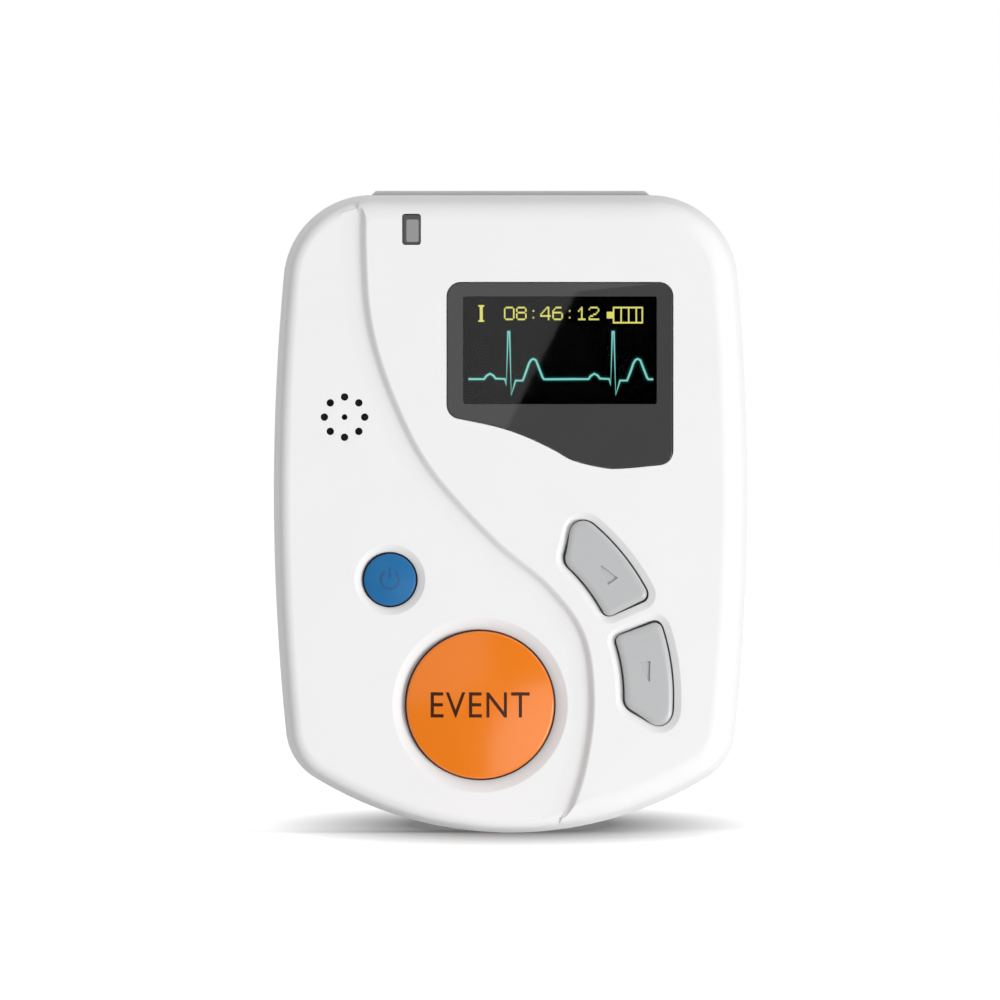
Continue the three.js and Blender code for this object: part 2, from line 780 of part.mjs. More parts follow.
// An arrow key: a pillowed cap, and its flange with room for the screws' bosses beside it.
function arrowKey(side) {
  const cap = loft([
    [keyOutline(side, -keyPillow), -keyProud],
    [keyOutline(side, -keyPillow / 3), -keyProud * 0.8],
    [keyOutline(side, 0), -keyProud / 4],
    [keyOutline(side, 0), flangeDepth - clearance],
  ]);
  let flange = prism(keyOutline(side, flangeGrowth), highPanelWall + clearance, flangeDepth);
  for (const place of screwPlaces) {
    flange = flange.subtract(rod(place, bossRadius + clearance, 0, boardDepth, postSides));
  }
  return cap.add(flange);
}

// A push switch's body: a square box with a well for its plunger and four feet.
function switchBody(place) {
  const half = switchSize / 2;
  const footFront = boardDepth - legThickness;
  let body = prism(roundedBox(place, switchSize, switchSize, chipRadius), switchTopDepth, boardDepth);
  for (const [sx, sz] of [[-1, -1], [-1, 1], [1, -1], [1, 1]]) {
    const x = place.x + sx * (half + legLength / 2);
    const z = place.z + sz * (half - legLength);
    body = body.add(block(x - legLength, x + legLength, z - legWidth, z + legWidth, footFront, boardDepth));
  }
  const wellRadius = plungerRadius + clearance;
  return body.subtract(rod(place, wellRadius, switchTopDepth - overrun, boardDepth - switchFloor, postSides));
}

// A push switch's plunger, which the button rests on.
function plunger(place) {
  const end = boardDepth - switchFloor - pressTravel - clearance;
  return rod(place, plungerRadius, flangeDepth, end, postSides);
}

// The window plate and the gasket that seats it in its recess.
const windowBackDepth = windowRecess - gasketThickness;

function displayWindow() {
  return prism(windowOutline(windowFit), windowBackDepth - windowThickness, windowBackDepth);
}

function windowGasket() {
  const ring = prism(windowOutline(gasketEdge), windowBackDepth, windowRecess);
  return ring.subtract(prism(displayView(), 0, roofDepth));
}

// The display module: glass with its driver strip below the picture.
const panelFront = highPanelWall + clearance;
const panelBack = panelFront + displayThickness;
const panelBox = {
  left: displayPlace.x - displayWidth / 2 - displayMargin,
  right: displayPlace.x + displayWidth / 2 + displayMargin,
  low: displayPlace.z - displayHeight / 2 - displayDriverStrip,
  high: displayPlace.z + displayHeight / 2 + displayMargin,
};

function displayPanel() {
  const { left, right, low, high } = panelBox;
  const middle = (panelFront + panelBack) / 2;
  return block(left, right, low, high, middle, panelBack).add(
    block(left, right, low + displayDriverStrip / 2, high, panelFront, middle),
  );
}

// The tray that carries the display on the board, open in its middle.
function displayCarrier() {
  const { left, right, low, high } = panelBox;
  const out = carrierWall + clearance;
  const trayFront = panelBack - displayThickness / 2;
  const tray = block(left - out, right + out, low - out, high + out, trayFront, boardDepth);
  const seat = block(left - clearance, right + clearance, low - clearance, high + clearance, 0, panelBack);
  const inner = 2 * displayMargin;
  const hollow = block(left + inner, right - inner, low + inner, high - inner, 0, boardDepth + overrun);
  const middle = (left + right) / 2;
  const reach = flexWidth / 2 + clearance;
  const notchFoot = low - 2 * out;
  const notch = block(middle - reach, middle + reach, notchFoot, low + clearance, 0, boardDepth + overrun);
  return tray.subtract(seat).subtract(hollow).subtract(notch);
}

// The flexible tail that runs from the display's lower edge back to the board.
function displayFlex() {
  const start = panelBox.low - clearance;
  const middle = (panelFront + panelBack) / 2 + flexThickness;
  const end = start - flexDrop;
  const x = (panelBox.left + panelBox.right) / 2;
  const [left, right] = [x - flexWidth / 2, x + flexWidth / 2];
  return block(left, right, end, start, middle, middle + flexThickness)
    .add(block(left, right, end, end + flexThickness, middle, boardDepth))
    .add(block(left, right, end - flexDrop, end + flexThickness, boardDepth - flexThickness, boardDepth));
}

// The indicator's light pipe, kept in by a flange behind the wall, and the light on the board under it.
function indicatorLens() {
  const [pipeWidth, pipeHeight] = [indicatorWidth - 2 * windowFit, indicatorHeight - 2 * windowFit];
  const pipe = roundedBox(indicatorPlace, pipeWidth, pipeHeight, indicatorRadius - windowFit);
  const flangeWidth = indicatorWidth + 2 * indicatorFlange;
  const flange = roundedBox(indicatorPlace, flangeWidth, indicatorHeight, indicatorRadius);
  const flangeFront = roofDepth + clearance;
  const end = boardDepth - ledThickness - clearance;
  return prism(pipe, windowFit, end).add(prism(flange, flangeFront, flangeFront + indicatorFlangeThickness));
}

function indicatorLed() {
  const base = roundedBox(indicatorPlace, ledWidth, ledHeight, chipRadius);
  const top = roundedBox(indicatorPlace, ledWidth - legThickness, ledHeight - legThickness, chipRadius);
  return loft([
    [top, boardDepth - ledThickness],
    [base, boardDepth - ledThickness / 2],
    [base, boardDepth],
  ]);
}

// The buzzer under the sound holes.
function buzzer() {
  const top = boardDepth - buzzerHeight;
  const port = buzzerPortRadius;
  return turned(
    [
      [0, top + port],
      [port, top + port],
      [port, top],
      [buzzerRadius - chipRadius, top],
      [buzzerRadius, top + chipRadius],
      [buzzerRadius, boardDepth],
      [0, boardDepth],
    ],
    soundPlace,
    smallSides,
  );
}

// The circuit board, which the case screws pass through.
function mainBoard() {
  let board = prism(caseOutline(wall + boardGap), boardDepth, boardBackDepth);
  for (const place of screwPlaces) {
    board = board.subtract(rod(place, screwRadius + clearance, 0, boardBackDepth + overrun, boreSides));
  }
  return board;
}

// The socket's shroud: a tube with a flange under the case's top wall and bevelled ends on its rim.
function socketShroud() {
  const [w, t] = [socketWidth / 2, socketThickness / 2];
  const profile = [
    [-w, socketBottom],
    [w, socketBottom],
    [w, socketTop - socketBevel],
    [w - socketBevel, socketTop],
    [socketBevel - w, socketTop],
    [-w, socketTop - socketBevel],
  ];
  const flangeHalf = w + socketFlange;
  const [front, back] = [socketDepth - t, socketDepth + t];
  const [wellHalf, wellThick] = [wellWidth / 2, wellThickness / 2];
  const flangeLow = socketFlangeTop - socketFlange;
  const flange = block(-flangeHalf, flangeHalf, flangeLow, socketFlangeTop, front, back);
  const [low, high] = [socketBottom - overrun, socketTop + overrun];
  const well = block(-wellHalf, wellHalf, low, high, socketDepth - wellThick, socketDepth + wellThick);
  return prism(profile, front, back).add(flange).subtract(well);
}

// The socket's insulator: a block in the well on a base under the shroud, with two staggered contact rows.
function socketInsulator() {
  const [w, t] = [wellWidth / 2 - clearance, wellThickness / 2 - clearance];
  const face = socketTop - wellDepth;
  const foot = socketBottom - insulatorBase;
  const baseReach = (socketThickness - wellThickness) / 4 + clearance;
  const [baseHalf, baseThick] = [w + baseReach, t + baseReach];
  let body = block(-w, w, foot, face, socketDepth - t, socketDepth + t).add(
    block(-baseHalf, baseHalf, foot, socketBottom, socketDepth - baseThick, socketDepth + baseThick),
  );
  for (const [row, count] of [[-1, contactCount], [1, contactCount - 1]]) {
    for (let i = 0; i < count; i++) {
      const length = 2 * contactHoleDepth;
      const hole = new THREE.CylinderGeometry(contactRadius, contactRadius, length, contactSides);
      const across = (i - (count - 1) / 2) * contactPitch;
      hole.rotateX(Math.PI / 2);
      hole.translate(across, behind(socketDepth + (row * contactRowGap) / 2), face);
      body = body.subtract(solid(hole));
    }
  }
  return body;
}

// A cell along X, its nub to the right for side 1 and to the left for side -1.
const cellSeat = bayWidth / 2 - plateThickness - contactSeat;
const lowerCellPlace = { x: 0, z: bayBottom + cellSideGap + cellRadius };
const upperCellPlace = { x: 0, z: lowerCellPlace.z + 2 * cellRadius + cellGap };

function batteryCell(place, side) {
  const body = cellLength - nubHeight;
  const bead = chipRadius;
  const points = [
    [0, 0],
    [cellRadius - bead, 0],
    [cellRadius, bead],
    [cellRadius, body - bead],
    [cellRadius - bead, body],
    [nubRadius, body],
    [nubRadius, cellLength],
    [0, cellLength],
  ].map(([radius, along]) => new THREE.Vector2(radius, along));
  const geometry = new THREE.LatheGeometry(points, smallSides);
  geometry.translate(0, cellSeat - cellLength, 0).rotateZ((-side * Math.PI) / 2);
  return solid(geometry.translate(0, behind(cellDepth), place.z));
}

// A tapering wire spring along X from a contact plate towards a cell's flat end.
class TaperedHelix extends THREE.Curve {
  constructor(length) {
    super();
    this.length = length;
  }

  getPoint(share, target = new THREE.Vector3()) {
    const radius = springBaseRadius + (springTipRadius - springBaseRadius) * share;
    const angle = share * springTurnCount * 2 * Math.PI;
    return target.set(this.length * share, radius * Math.cos(angle), radius * Math.sin(angle));
  }
}

function contactSpring(side, z) {
  const start = springWire;
  const helix = new TaperedHelix(springRoom - start - springWire - 2 * contactSeat);
  const section = new THREE.Shape(
    arc({ x: 0, z: 0 }, springWire, 0, 2 * Math.PI, wireSides, 0)
      .slice(1)
      .map(([x, y]) => new THREE.Vector2(x, y)),
  );
  const steps = springTurnCount * springSteps;
  const wire = new THREE.ExtrudeGeometry(section, { steps, extrudePath: helix, bevelEnabled: false });
  wire.rotateY(side > 0 ? 0 : Math.PI);
  return solid(wire.translate(-side * (bayWidth / 2 - plateThickness - start * 0.7), behind(cellDepth), z));
}

// A flat contact plate against an end wall of the bay, from one cell to another.
function contactPlate(side, lowPlace, highPlace) {
  const inner = side * (bayWidth / 2 - plateThickness);
  const outer = (side * bayWidth) / 2;
  return block(
    Math.min(inner, outer),
    Math.max(inner, outer),
    lowPlace.z - plateHeight / 2,
    highPlace.z + plateHeight / 2,
    cellDepth - plateWidth / 2,
    cellDepth + plateWidth / 2,
  );
}

// A chip on the board's back with legs along its two long sides.
function chip(place, width, height) {
  const chipBack = boardBackDepth + chipThickness;
  let body = prism(roundedBox(place, width, height, chipRadius), boardBackDepth, chipBack);
  const count = Math.floor((height - legPitch) / legPitch);
  for (let i = 0; i < count; i++) {
    const z = place.z + (i - (count - 1) / 2) * legPitch;
    const half = width / 2 + legLength;
    const [left, right] = [place.x - half, place.x + half];
    const legBack = boardBackDepth + legThickness;
    body = body.add(block(left, right, z - legWidth / 2, z + legWidth / 2, boardBackDepth, legBack));
  }
  return body;
}

// The clock crystal's can.
function clockCrystal(place) {
  const radius = crystalHeight / 2 - chipRadius;
  const can = roundedBox(place, crystalWidth, crystalHeight, radius);
  const [topWidth, topHeight] = [crystalWidth - chipRadius, crystalHeight - chipRadius];
  const top = roundedBox(place, topWidth, topHeight, radius - chipRadius / 2);
  return loft([
    [can, boardBackDepth],
    [can, boardBackDepth + crystalThickness - chipRadius],
    [top, boardBackDepth + crystalThickness],
  ]);
}

// A case screw, its head in the rear cover's counterbore and its tip in the front cover's boss.
function caseScrew(place) {
  const head = screwSeatDepth + screwHeadHeight;
  const screw = turned(
    [
      [0, screwTipDepth],
      [screwRadius / 2, screwTipDepth],
      [screwRadius, screwTipDepth + screwTipHeight],
      [screwRadius, screwSeatDepth],
      [screwHeadRadius, screwSeatDepth],
      [screwHeadRadius, head - chipRadius],
      [screwHeadRadius - chipRadius, head],
      [0, head],
    ],
    place,
    boreSides,
  );
  const [x, z] = [place.x, place.z];
  const [long, thin] = [screwDriveLength / 2, screwDriveWidth / 2];
  const driveDepth = head - screwDriveDepth;
  const cross = block(x - long, x + long, z - thin, z + thin, driveDepth, head + overrun).add(
    block(x - thin, x + thin, z - long, z + long, driveDepth, head + overrun),
  );
  return screw.subtract(cross);
}

// Finishes
const finishes = {
  whiteCase: { color: "#f1f1f1", roughness: 0.35, metalness: 0 },
  whiteDoor: { color: "#eeeeee", roughness: 0.4, metalness: 0 },
  windowGlass: { color: "#4a4a4a", roughness: 0.08, metalness: 0 },
  blackFoam: { color: "#1c1c1c", roughness: 0.9, metalness: 0 },
  displayGlass: { color: "#0b0b0c", roughness: 0.15, metalness: 0 },
  greyLens: { color: "#8f8f8f", roughness: 0.3, metalness: 0 },
  orangeButton: { color: "#ec7f24", roughness: 0.2, metalness: 0 },
  blueButton: { color: "#2f75ad", roughness: 0.3, metalness: 0 },
  greyKey: { color: "#bdbfbf", roughness: 0.35, metalness: 0 },
  greySocket: { color: "#b7b7b7", roughness: 0.45, metalness: 0 },
  blackPlastic: { color: "#1d1e20", roughness: 0.5, metalness: 0 },
  boardGreen: { color: "#1f5a3a", roughness: 0.5, metalness: 0 },
  flexAmber: { color: "#b5762a", roughness: 0.5, metalness: 0 },
  ledWhite: { color: "#f4f2e6", roughness: 0.4, metalness: 0 },
  nickel: { color: "#c9c7c0", roughness: 0.3, metalness: 1 },
  steel: { color: "#a9abad", roughness: 0.35, metalness: 1 },
  cellJacket: { color: "#3c4a57", roughness: 0.35, metalness: 0.2 },
};

const recorder = new THREE.Group();

// Adds a solid to the recorder as a named piece.
function add(name, made, finish) {
  const { vertProperties, triVerts } = made.getMesh();
  const geometry = new THREE.BufferGeometry();
  geometry.setAttribute("position", new THREE.BufferAttribute(vertProperties, 3));
  geometry.setIndex(new THREE.BufferAttribute(triVerts, 1));
  geometry.computeVertexNormals();
  const mesh = new THREE.Mesh(geometry, new THREE.MeshStandardMaterial(finishes[finish]));
  mesh.name = name;
  recorder.add(mesh);
}

add("front_cover", frontCover(), "whiteCase");
add("rear_cover", rearCover(), "whiteCase");
add("battery_door", batteryDoor(), "whiteDoor");
add("display_window", displayWindow(), "windowGlass");
add("window_gasket", windowGasket(), "blackFoam");
add("display_panel", displayPanel(), "displayGlass");
add("display_carrier", displayCarrier(), "blackPlastic");
add("display_flex", displayFlex(), "flexAmber");
add("indicator_lens", indicatorLens(), "greyLens");
add("indicator_led", indicatorLed(), "ledWhite");
add("buzzer", buzzer(), "blackPlastic");
add("main_board", mainBoard(), "boardGreen");
add("socket_shroud", socketShroud(), "greySocket");
add("socket_insulator", socketInsulator(), "blackPlastic");
add("event_button", roundButton(eventPlace, eventRadius, eventCrown, roundSides), "orangeButton");
add("power_button", roundButton(powerPlace, powerRadius, powerCrown, smallSides), "blueButton");
add("up_button", arrowKey(1), "greyKey");
add("down_button", arrowKey(-1), "greyKey");

const switchPlaces = { event: eventPlace, power: powerPlace, up: keyPlace(1), down: keyPlace(-1) };
for (const [name, place] of Object.entries(switchPlaces)) {
  add(`${name}_switch`, switchBody(place), "blackPlastic");
  add(`${name}_plunger`, plunger(place), "blackPlastic");
}

const bridge = contactPlate(1, lowerCellPlace, upperCellPlace).add(contactSpring(-1, upperCellPlace.z));
const springPlate = contactPlate(-1, lowerCellPlace, lowerCellPlace);
add("battery_cell_lower", batteryCell(lowerCellPlace, 1), "cellJacket");
add("battery_cell_upper", batteryCell(upperCellPlace, -1), "cellJacket");
add("battery_bridge", bridge, "nickel");
add("battery_spring", springPlate.add(contactSpring(1, lowerCellPlace.z)), "nickel");
add("battery_plate", contactPlate(-1, upperCellPlace, upperCellPlace), "nickel");

const chipRow = bayTop + bayWall + chipRowGap + processorSize / 2;
add("processor_chip", chip({ x: 0, z: chipRow }, processorSize, processorSize), "blackPlastic");
add("memory_chip", chip({ x: -caseWidth / 4, z: chipRow }, memoryWidth, memoryHeight), "blackPlastic");
add("clock_crystal", clockCrystal({ x: caseWidth / 4, z: chipRow }), "nickel");
const amplifierPlace = { x: 0, z: (chipRow + processorSize / 2 + socketBottom - insulatorBase) / 2 };
add("amplifier_chip", chip(amplifierPlace, amplifierSize, amplifierSize), "blackPlastic");

const screwNames = ["upper_left", "upper_right", "lower_left", "lower_right"];
screwPlaces.forEach((place, i) => add(`case_screw_${screwNames[i]}`, caseScrew(place), "steel"));

export default recorder;
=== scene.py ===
"""Looks of a pocket heart-trace recorder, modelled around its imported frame.

X runs right, the front faces -Y and Z runs up, as in the frame. Sizes are in millimetres and the bench
functions turn them to metres. Depths are measured from the raised front panel's face towards the back, and
outlines are lists of (x, z) points, anticlockwise as the reader sees them.
"""

import json
import logging
import math
from collections.abc import Callable, Iterator, Sequence
from contextlib import contextmanager
from dataclasses import dataclass, replace
from enum import Enum
from functools import cached_property

import bpy
from mathutils import Matrix, Vector

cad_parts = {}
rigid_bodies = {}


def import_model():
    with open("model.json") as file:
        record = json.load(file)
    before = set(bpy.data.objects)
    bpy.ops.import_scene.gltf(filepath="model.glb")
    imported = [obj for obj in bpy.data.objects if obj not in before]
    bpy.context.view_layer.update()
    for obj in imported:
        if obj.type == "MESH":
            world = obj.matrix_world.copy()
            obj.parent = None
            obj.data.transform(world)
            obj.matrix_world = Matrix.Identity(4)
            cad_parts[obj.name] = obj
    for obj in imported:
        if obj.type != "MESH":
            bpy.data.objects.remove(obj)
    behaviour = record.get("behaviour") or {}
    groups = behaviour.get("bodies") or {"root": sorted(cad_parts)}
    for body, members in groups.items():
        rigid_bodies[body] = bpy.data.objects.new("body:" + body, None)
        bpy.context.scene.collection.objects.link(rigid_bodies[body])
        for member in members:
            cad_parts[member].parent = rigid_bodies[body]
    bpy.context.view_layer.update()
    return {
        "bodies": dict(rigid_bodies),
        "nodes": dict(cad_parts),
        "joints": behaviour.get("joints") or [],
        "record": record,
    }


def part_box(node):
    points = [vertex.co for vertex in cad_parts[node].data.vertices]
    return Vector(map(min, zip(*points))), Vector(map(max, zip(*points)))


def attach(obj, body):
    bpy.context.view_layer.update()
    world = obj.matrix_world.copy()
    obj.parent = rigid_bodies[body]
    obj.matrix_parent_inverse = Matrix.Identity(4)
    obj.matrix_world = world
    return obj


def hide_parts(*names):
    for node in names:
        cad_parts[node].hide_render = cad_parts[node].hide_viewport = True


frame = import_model()

MM = 0.001
OVERRUN = 2.0

Point = tuple[float, float]
Outline = list[Point]
Move = tuple[float, float]
Piece = bpy.types.Object
Tree = bpy.types.NodeTree
Socket = bpy.types.NodeSocket

log = logging.getLogger("recorder")


class Facing(Enum):
    """The side that a solid grows towards."""

    FRONT = -1
    BACK = 1


class How(Enum):
    """What one solid does to another."""

    CUT = "DIFFERENCE"
    JOIN = "UNION"
    KEEP = "INTERSECT"


class Solver(Enum):
    """The Boolean solver: the quick one for closed solids, or the patient one for text."""

    QUICK = "MANIFOLD"
    PATIENT = "EXACT"


# Outlines


def arc(centre: Point, radius: float, start: float, end: float, steps: int) -> Outline:
    """Points on an arc, both ends included.

    Args:
        centre: The arc's centre.
        radius: Its radius.
        start: The first angle in radians, from +X towards +Z.
        end: The last angle.
        steps: How many straight pieces it has.

    Returns:
        The points in order.
    """
    angles = [start + (end - start) * i / steps for i in range(steps + 1)]
    return [(centre[0] + radius * math.cos(a), centre[1] + radius * math.sin(a)) for a in angles]


def circle(centre: Point, radius: float, sides: int) -> Outline:
    """A closed circle."""
    return arc(centre, radius, 0, math.tau, sides)[:-1]


def rounded(corners: Sequence[tuple[float, float, float]], steps: int = 10) -> Outline:
    """An outline with a fillet at each corner. Two fillets share the side between them by their radii.

    Args:
        corners: (x, z, radius) in order.
        steps: Straight pieces in each fillet.

    Returns:
        The rounded outline.
    """
    outline: Outline = []
    for i, (x, z, radius) in enumerate(corners):
        if radius <= 0:
            outline.append((x, z))
            continue
        before, after = corners[i - 1], corners[(i + 1) % len(corners)]
        corner = Vector((x, z))
        back, ahead = Vector(before[:2]) - corner, Vector(after[:2]) - corner
        rooms = [side.length * radius / (radius + end[2]) for side, end in ((back, before), (ahead, after))]
        back.normalize()
        ahead.normalize()
        half = math.acos(back.dot(ahead)) / 2
        reach = min(radius / math.tan(half), *rooms)
        middle = corner + (back + ahead).normalized() * reach / math.cos(half)
        arm = corner + back * reach - middle
        turn = math.copysign(math.pi - 2 * half, ahead.x * back.y - ahead.y * back.x)
        start = math.atan2(arm.y, arm.x)
        outline += arc((middle.x, middle.y), arm.length, start, start + turn, steps)
    return outline


def rounded_box(centre: Point, width: float, height: float, radius: float) -> Outline:
    """A rectangle with rounded corners about a centre."""
    (x, z), w, h = centre, width / 2, height / 2
    places = ((x - w, z - h), (x + w, z - h), (x + w, z + h), (x - w, z + h))
    return rounded([(*place, radius) for place in places])


def through(points: Sequence[Point], steps: int) -> Outline:
    """A smooth open curve through points, as a uniform Catmull-Rom spline.

    Args:
        points: The points that it passes.
        steps: Straight pieces between two points.

    Returns:
        The curve's points.
    """
    curve: Outline = []
    last = len(points) - 1
    for i in range(last):
        p0, p1, p2, p3 = (Vector(points[min(max(i + k, 0), last)]) for k in (-1, 0, 1, 2))
        for k in range(steps):
            t = k / steps
            bend = (2 * p0 - 5 * p1 + 4 * p2 - p3) * t**2 + (3 * p1 - p0 - 3 * p2 + p3) * t**3
            place = (2 * p1 + (p2 - p0) * t + bend) / 2
            curve.append((place.x, place.y))
    curve.append(tuple(points[last]))
    return curve


def beside(curve: Outline, aside: float) -> Outline:
    """An open curve moved to its right by a distance, square to itself."""
    moved: Outline = []
    for i, (x, z) in enumerate(curve):
        (ax, az), (bx, bz) = curve[max(i - 1, 0)], curve[min(i + 1, len(curve) - 1)]
        along = Vector((bx - ax, bz - az)).normalized()
        moved.append((x + along.y * aside, z - along.x * aside))
    return moved


def quarter(width: float, height: float, steps: int, hollow: bool = False) -> list[Move]:
    """The moves round a quarter of an ellipse.

    Args:
        width: How far it goes inward.
        height: How far it goes onward.
        steps: Straight pieces.
        hollow: Whether it starts along the face and ends square to it, as a dish does.

    Returns:
        (inward, onward) steps.
    """
    angles = [math.pi / 2 * i / steps for i in range(steps + 1)]
    if hollow:
        places = [(width * math.sin(a), height * (1 - math.cos(a))) for a in angles]
    else:
        places = [(width * (1 - math.cos(a)), height * math.sin(a)) for a in angles]
    return [(b[0] - a[0], b[1] - a[1]) for a, b in zip(places, places[1:])]


# The modelling bench

FRONT_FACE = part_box("front_cover")[0][1] / MM


def behind(depth: float) -> float:
    """The Y coordinate, in metres, of a depth behind the raised panel's face."""
    return (FRONT_FACE + depth) * MM


def make_active(piece: Piece) -> None:
    """Selects one object alone and makes it the active one."""
    bpy.ops.object.select_all(action="DESELECT")
    piece.select_set(True)
    bpy.context.view_layer.objects.active = piece


def newest(name: str) -> Piece:
    """The object that an operator has just made, under its own name."""
    piece = bpy.context.object
    piece.name = name
    return piece


def added(name: str, operator: Callable[..., object], **settings: object) -> Piece:
    """What an operator adds with its settings, the only selected object."""
    bpy.ops.object.select_all(action="DESELECT")
    operator(**settings)
    return newest(name)


@contextmanager
def editing(piece: Piece, mode: str = "FACE") -> Iterator[None]:
    """Edit mode on one object.

    Args:
        piece: The object.
        mode: What is selected: VERT, EDGE or FACE.
    """
    make_active(piece)
    bpy.context.tool_settings.mesh_select_mode = [mode == kind for kind in ("VERT", "EDGE", "FACE")]
    bpy.ops.object.mode_set(mode="EDIT")
    try:
        yield
    finally:
        bpy.ops.object.mode_set(mode="OBJECT")


def pick_faces(piece: Piece, test: Callable[[bpy.types.MeshPolygon], bool]) -> None:
    """Selects the faces that pass a test, and nothing else."""
    for item in (*piece.data.vertices, *piece.data.edges):
        item.select = False
    for face in piece.data.polygons:
        face.select = test(face)


def pick_edges(piece: Piece, test: Callable[[Vector, Vector], bool]) -> None:
    """Selects the edges whose two ends pass a test, and nothing else."""
    points = piece.data.vertices
    for item in (*points, *piece.data.polygons):
        item.select = False
    for edge in piece.data.edges:
        edge.select = test(*(points[i].co for i in edge.vertices))


def face_of(name: str, outline: Outline, depth: float, facing: Facing) -> Piece:
    """One flat face: a circle primitive whose points are set on an outline.

    Args:
        name: The new object's name.
        outline: The face's outline.
        depth: Where it stands.
        facing: The side that it looks to.

    Returns:
        The object.
    """
    circle_add = bpy.ops.mesh.primitive_circle_add
    piece = added(name, circle_add, vertices=len(outline), radius=MM, fill_type="NGON")
    points = outline if facing is Facing.FRONT else outline[::-1]
    for vertex, (x, z) in zip(piece.data.vertices, points, strict=True):
        vertex.co = (x * MM, behind(depth), z * MM)
    return piece


def volume(piece: Piece) -> float:
    """A closed solid's volume, negative where its faces point inwards."""
    piece.data.calc_loop_triangles()
    points = piece.data.vertices
    corners = ([points[i].co for i in triangle.vertices] for triangle in piece.data.loop_triangles)
    return sum(a.dot(b.cross(c)) for a, b, c in corners) / 6


def face_outwards(piece: Piece) -> Piece:
    """Turns a closed solid's faces outwards."""
    with editing(piece):
        bpy.ops.mesh.select_all(action="SELECT")
        bpy.ops.mesh.normals_make_consistent(inside=False)
    if volume(piece) < 0:
        with editing(piece):
            bpy.ops.mesh.select_all(action="SELECT")
            bpy.ops.mesh.flip_normals()
    return piece


def stack(name: str, outline: Outline, depth: float, facing: Facing, moves: Sequence[Move]) -> Piece:
    """A closed solid drawn out of one face, step by step.

    Args:
        name: The new object's name.
        outline: The first face's outline.
        depth: Where that face stands.
        facing: The side that the solid grows towards.
        moves: (inward, onward) steps. One that goes inward is an inset, and one that doesn't is an extrusion.

    Returns:
        The solid.
    """
    piece = face_of(name, outline, depth, facing)
    with editing(piece):
        bpy.ops.mesh.select_all(action="SELECT")
        for inward, onward in moves:
            if inward:
                bpy.ops.mesh.inset(thickness=inward * MM, depth=onward * MM, use_even_offset=True)
            else:
                move = (0, facing.value * onward * MM, 0)
                bpy.ops.mesh.extrude_region_move(TRANSFORM_OT_translate={"value": move})
    return face_outwards(piece)


def prism(name: str, outline: Outline, start: float, end: float) -> Piece:
    """An outline drawn back from one depth to another."""
    return stack(name, outline, start, Facing.BACK, [(0, end - start)])


def moat(outline: Outline, face: float, width: float, depth: float) -> Piece:
    """A cutter for the shallow cone round a button, with a soft outer edge, and for the button's hole.

    Args:
        outline: The cone's outer edge.
        face: The depth of the face that it lies in.
        width: How far the hole's edge lies inside the outer edge.
        depth: How far it lies behind the face.

    Returns:
        The solid.
    """
    slopes = ((0.06, 0.02), (0.06, 0.05), (0.88, 0.93))
    moves = [(0, face + OVERRUN), *((across * width, down * depth) for across, down in slopes)]
    return stack("moat", outline, -OVERRUN, Facing.BACK, [*moves, (0, CASE.roof + OVERRUN)])


def mouth(
    name: str, outline: Outline, face: float, facing: Facing, ease: float, depth: float, steps: int = 4
) -> Piece:
    """A cutter for a hole with an eased mouth.

    Args:
        name: The new object's name.
        outline: The mouth's outer edge.
        face: The depth of the face that it is cut in.
        facing: The side that it is cut towards.
        ease: The width and depth of the eased edge.
        depth: How deep the hole goes on from there.
        steps: The eased edge's straight pieces.

    Returns:
        The solid.
    """
    moves = [(0, OVERRUN), *quarter(ease, ease, steps, hollow=True), (0, depth)]
    return stack(name, outline, face - facing.value * OVERRUN, facing, moves)


def brick(name: str, across: Point, up: Point, depths: Point) -> Piece:
    """A box.

    Args:
        name: The new object's name.
        across: Its left and right planes.
        up: Its lower and upper planes.
        depths: Its front and back planes.

    Returns:
        The solid.
    """
    (left, right), (low, high) = across, up
    return prism(name, [(left, low), (right, low), (right, high), (left, high)], *depths)


def apply_modifier(piece: Piece, kind: str, **settings: object) -> None:
    """Adds a modifier with its settings and applies it."""
    make_active(piece)
    modifier = piece.modifiers.new(kind.title(), kind)
    for name, value in settings.items():
        setattr(modifier, name, value)
    bpy.ops.object.modifier_apply(modifier=modifier.name)


def combine(
    piece: Piece, how: How, *tools: Piece, solver: Solver = Solver.QUICK
) -> Piece:
    """Cuts, joins or keeps a solid with others, which are then deleted.

    Args:
        piece: The solid that is changed.
        how: What the tools do to it.
        *tools: The other solids.
        solver: The Boolean solver.

    Returns:
        The changed solid.
    """
    for tool in tools:
        apply_modifier(piece, "BOOLEAN", operation=how.value, object=tool, solver=solver.value)
        bpy.data.objects.remove(tool)
    return piece


def merge_close(piece: Piece, distance: float = 0.001) -> None:
    """Merges points that lie together."""
    with editing(piece, "VERT"):
        bpy.ops.mesh.select_all(action="SELECT")
        bpy.ops.mesh.remove_doubles(threshold=distance * MM)


def copy_of_node(name: str, node_name: str) -> Piece:
    """A merged copy of a frame node's mesh, with its flat faces whole again."""
    piece = bpy.data.objects.new(name, frame["nodes"][node_name].data.copy())
    piece.data.materials.clear()
    bpy.context.scene.collection.objects.link(piece)
    merge_close(piece)
    with editing(piece, "VERT"):
        bpy.ops.mesh.select_all(action="SELECT")
        bpy.ops.mesh.dissolve_limited(angle_limit=math.radians(0.5))
    return piece


def copy_of(piece: Piece, name: str, move: Sequence[float] = (0, 0, 0)) -> Piece:
    """A copy of a piece with its own mesh, moved by millimetres."""
    twin = bpy.data.objects.new(name, piece.data.copy())
    bpy.context.scene.collection.objects.link(twin)
    twin.data.transform(Matrix.Translation([part * MM for part in move]))
    return twin


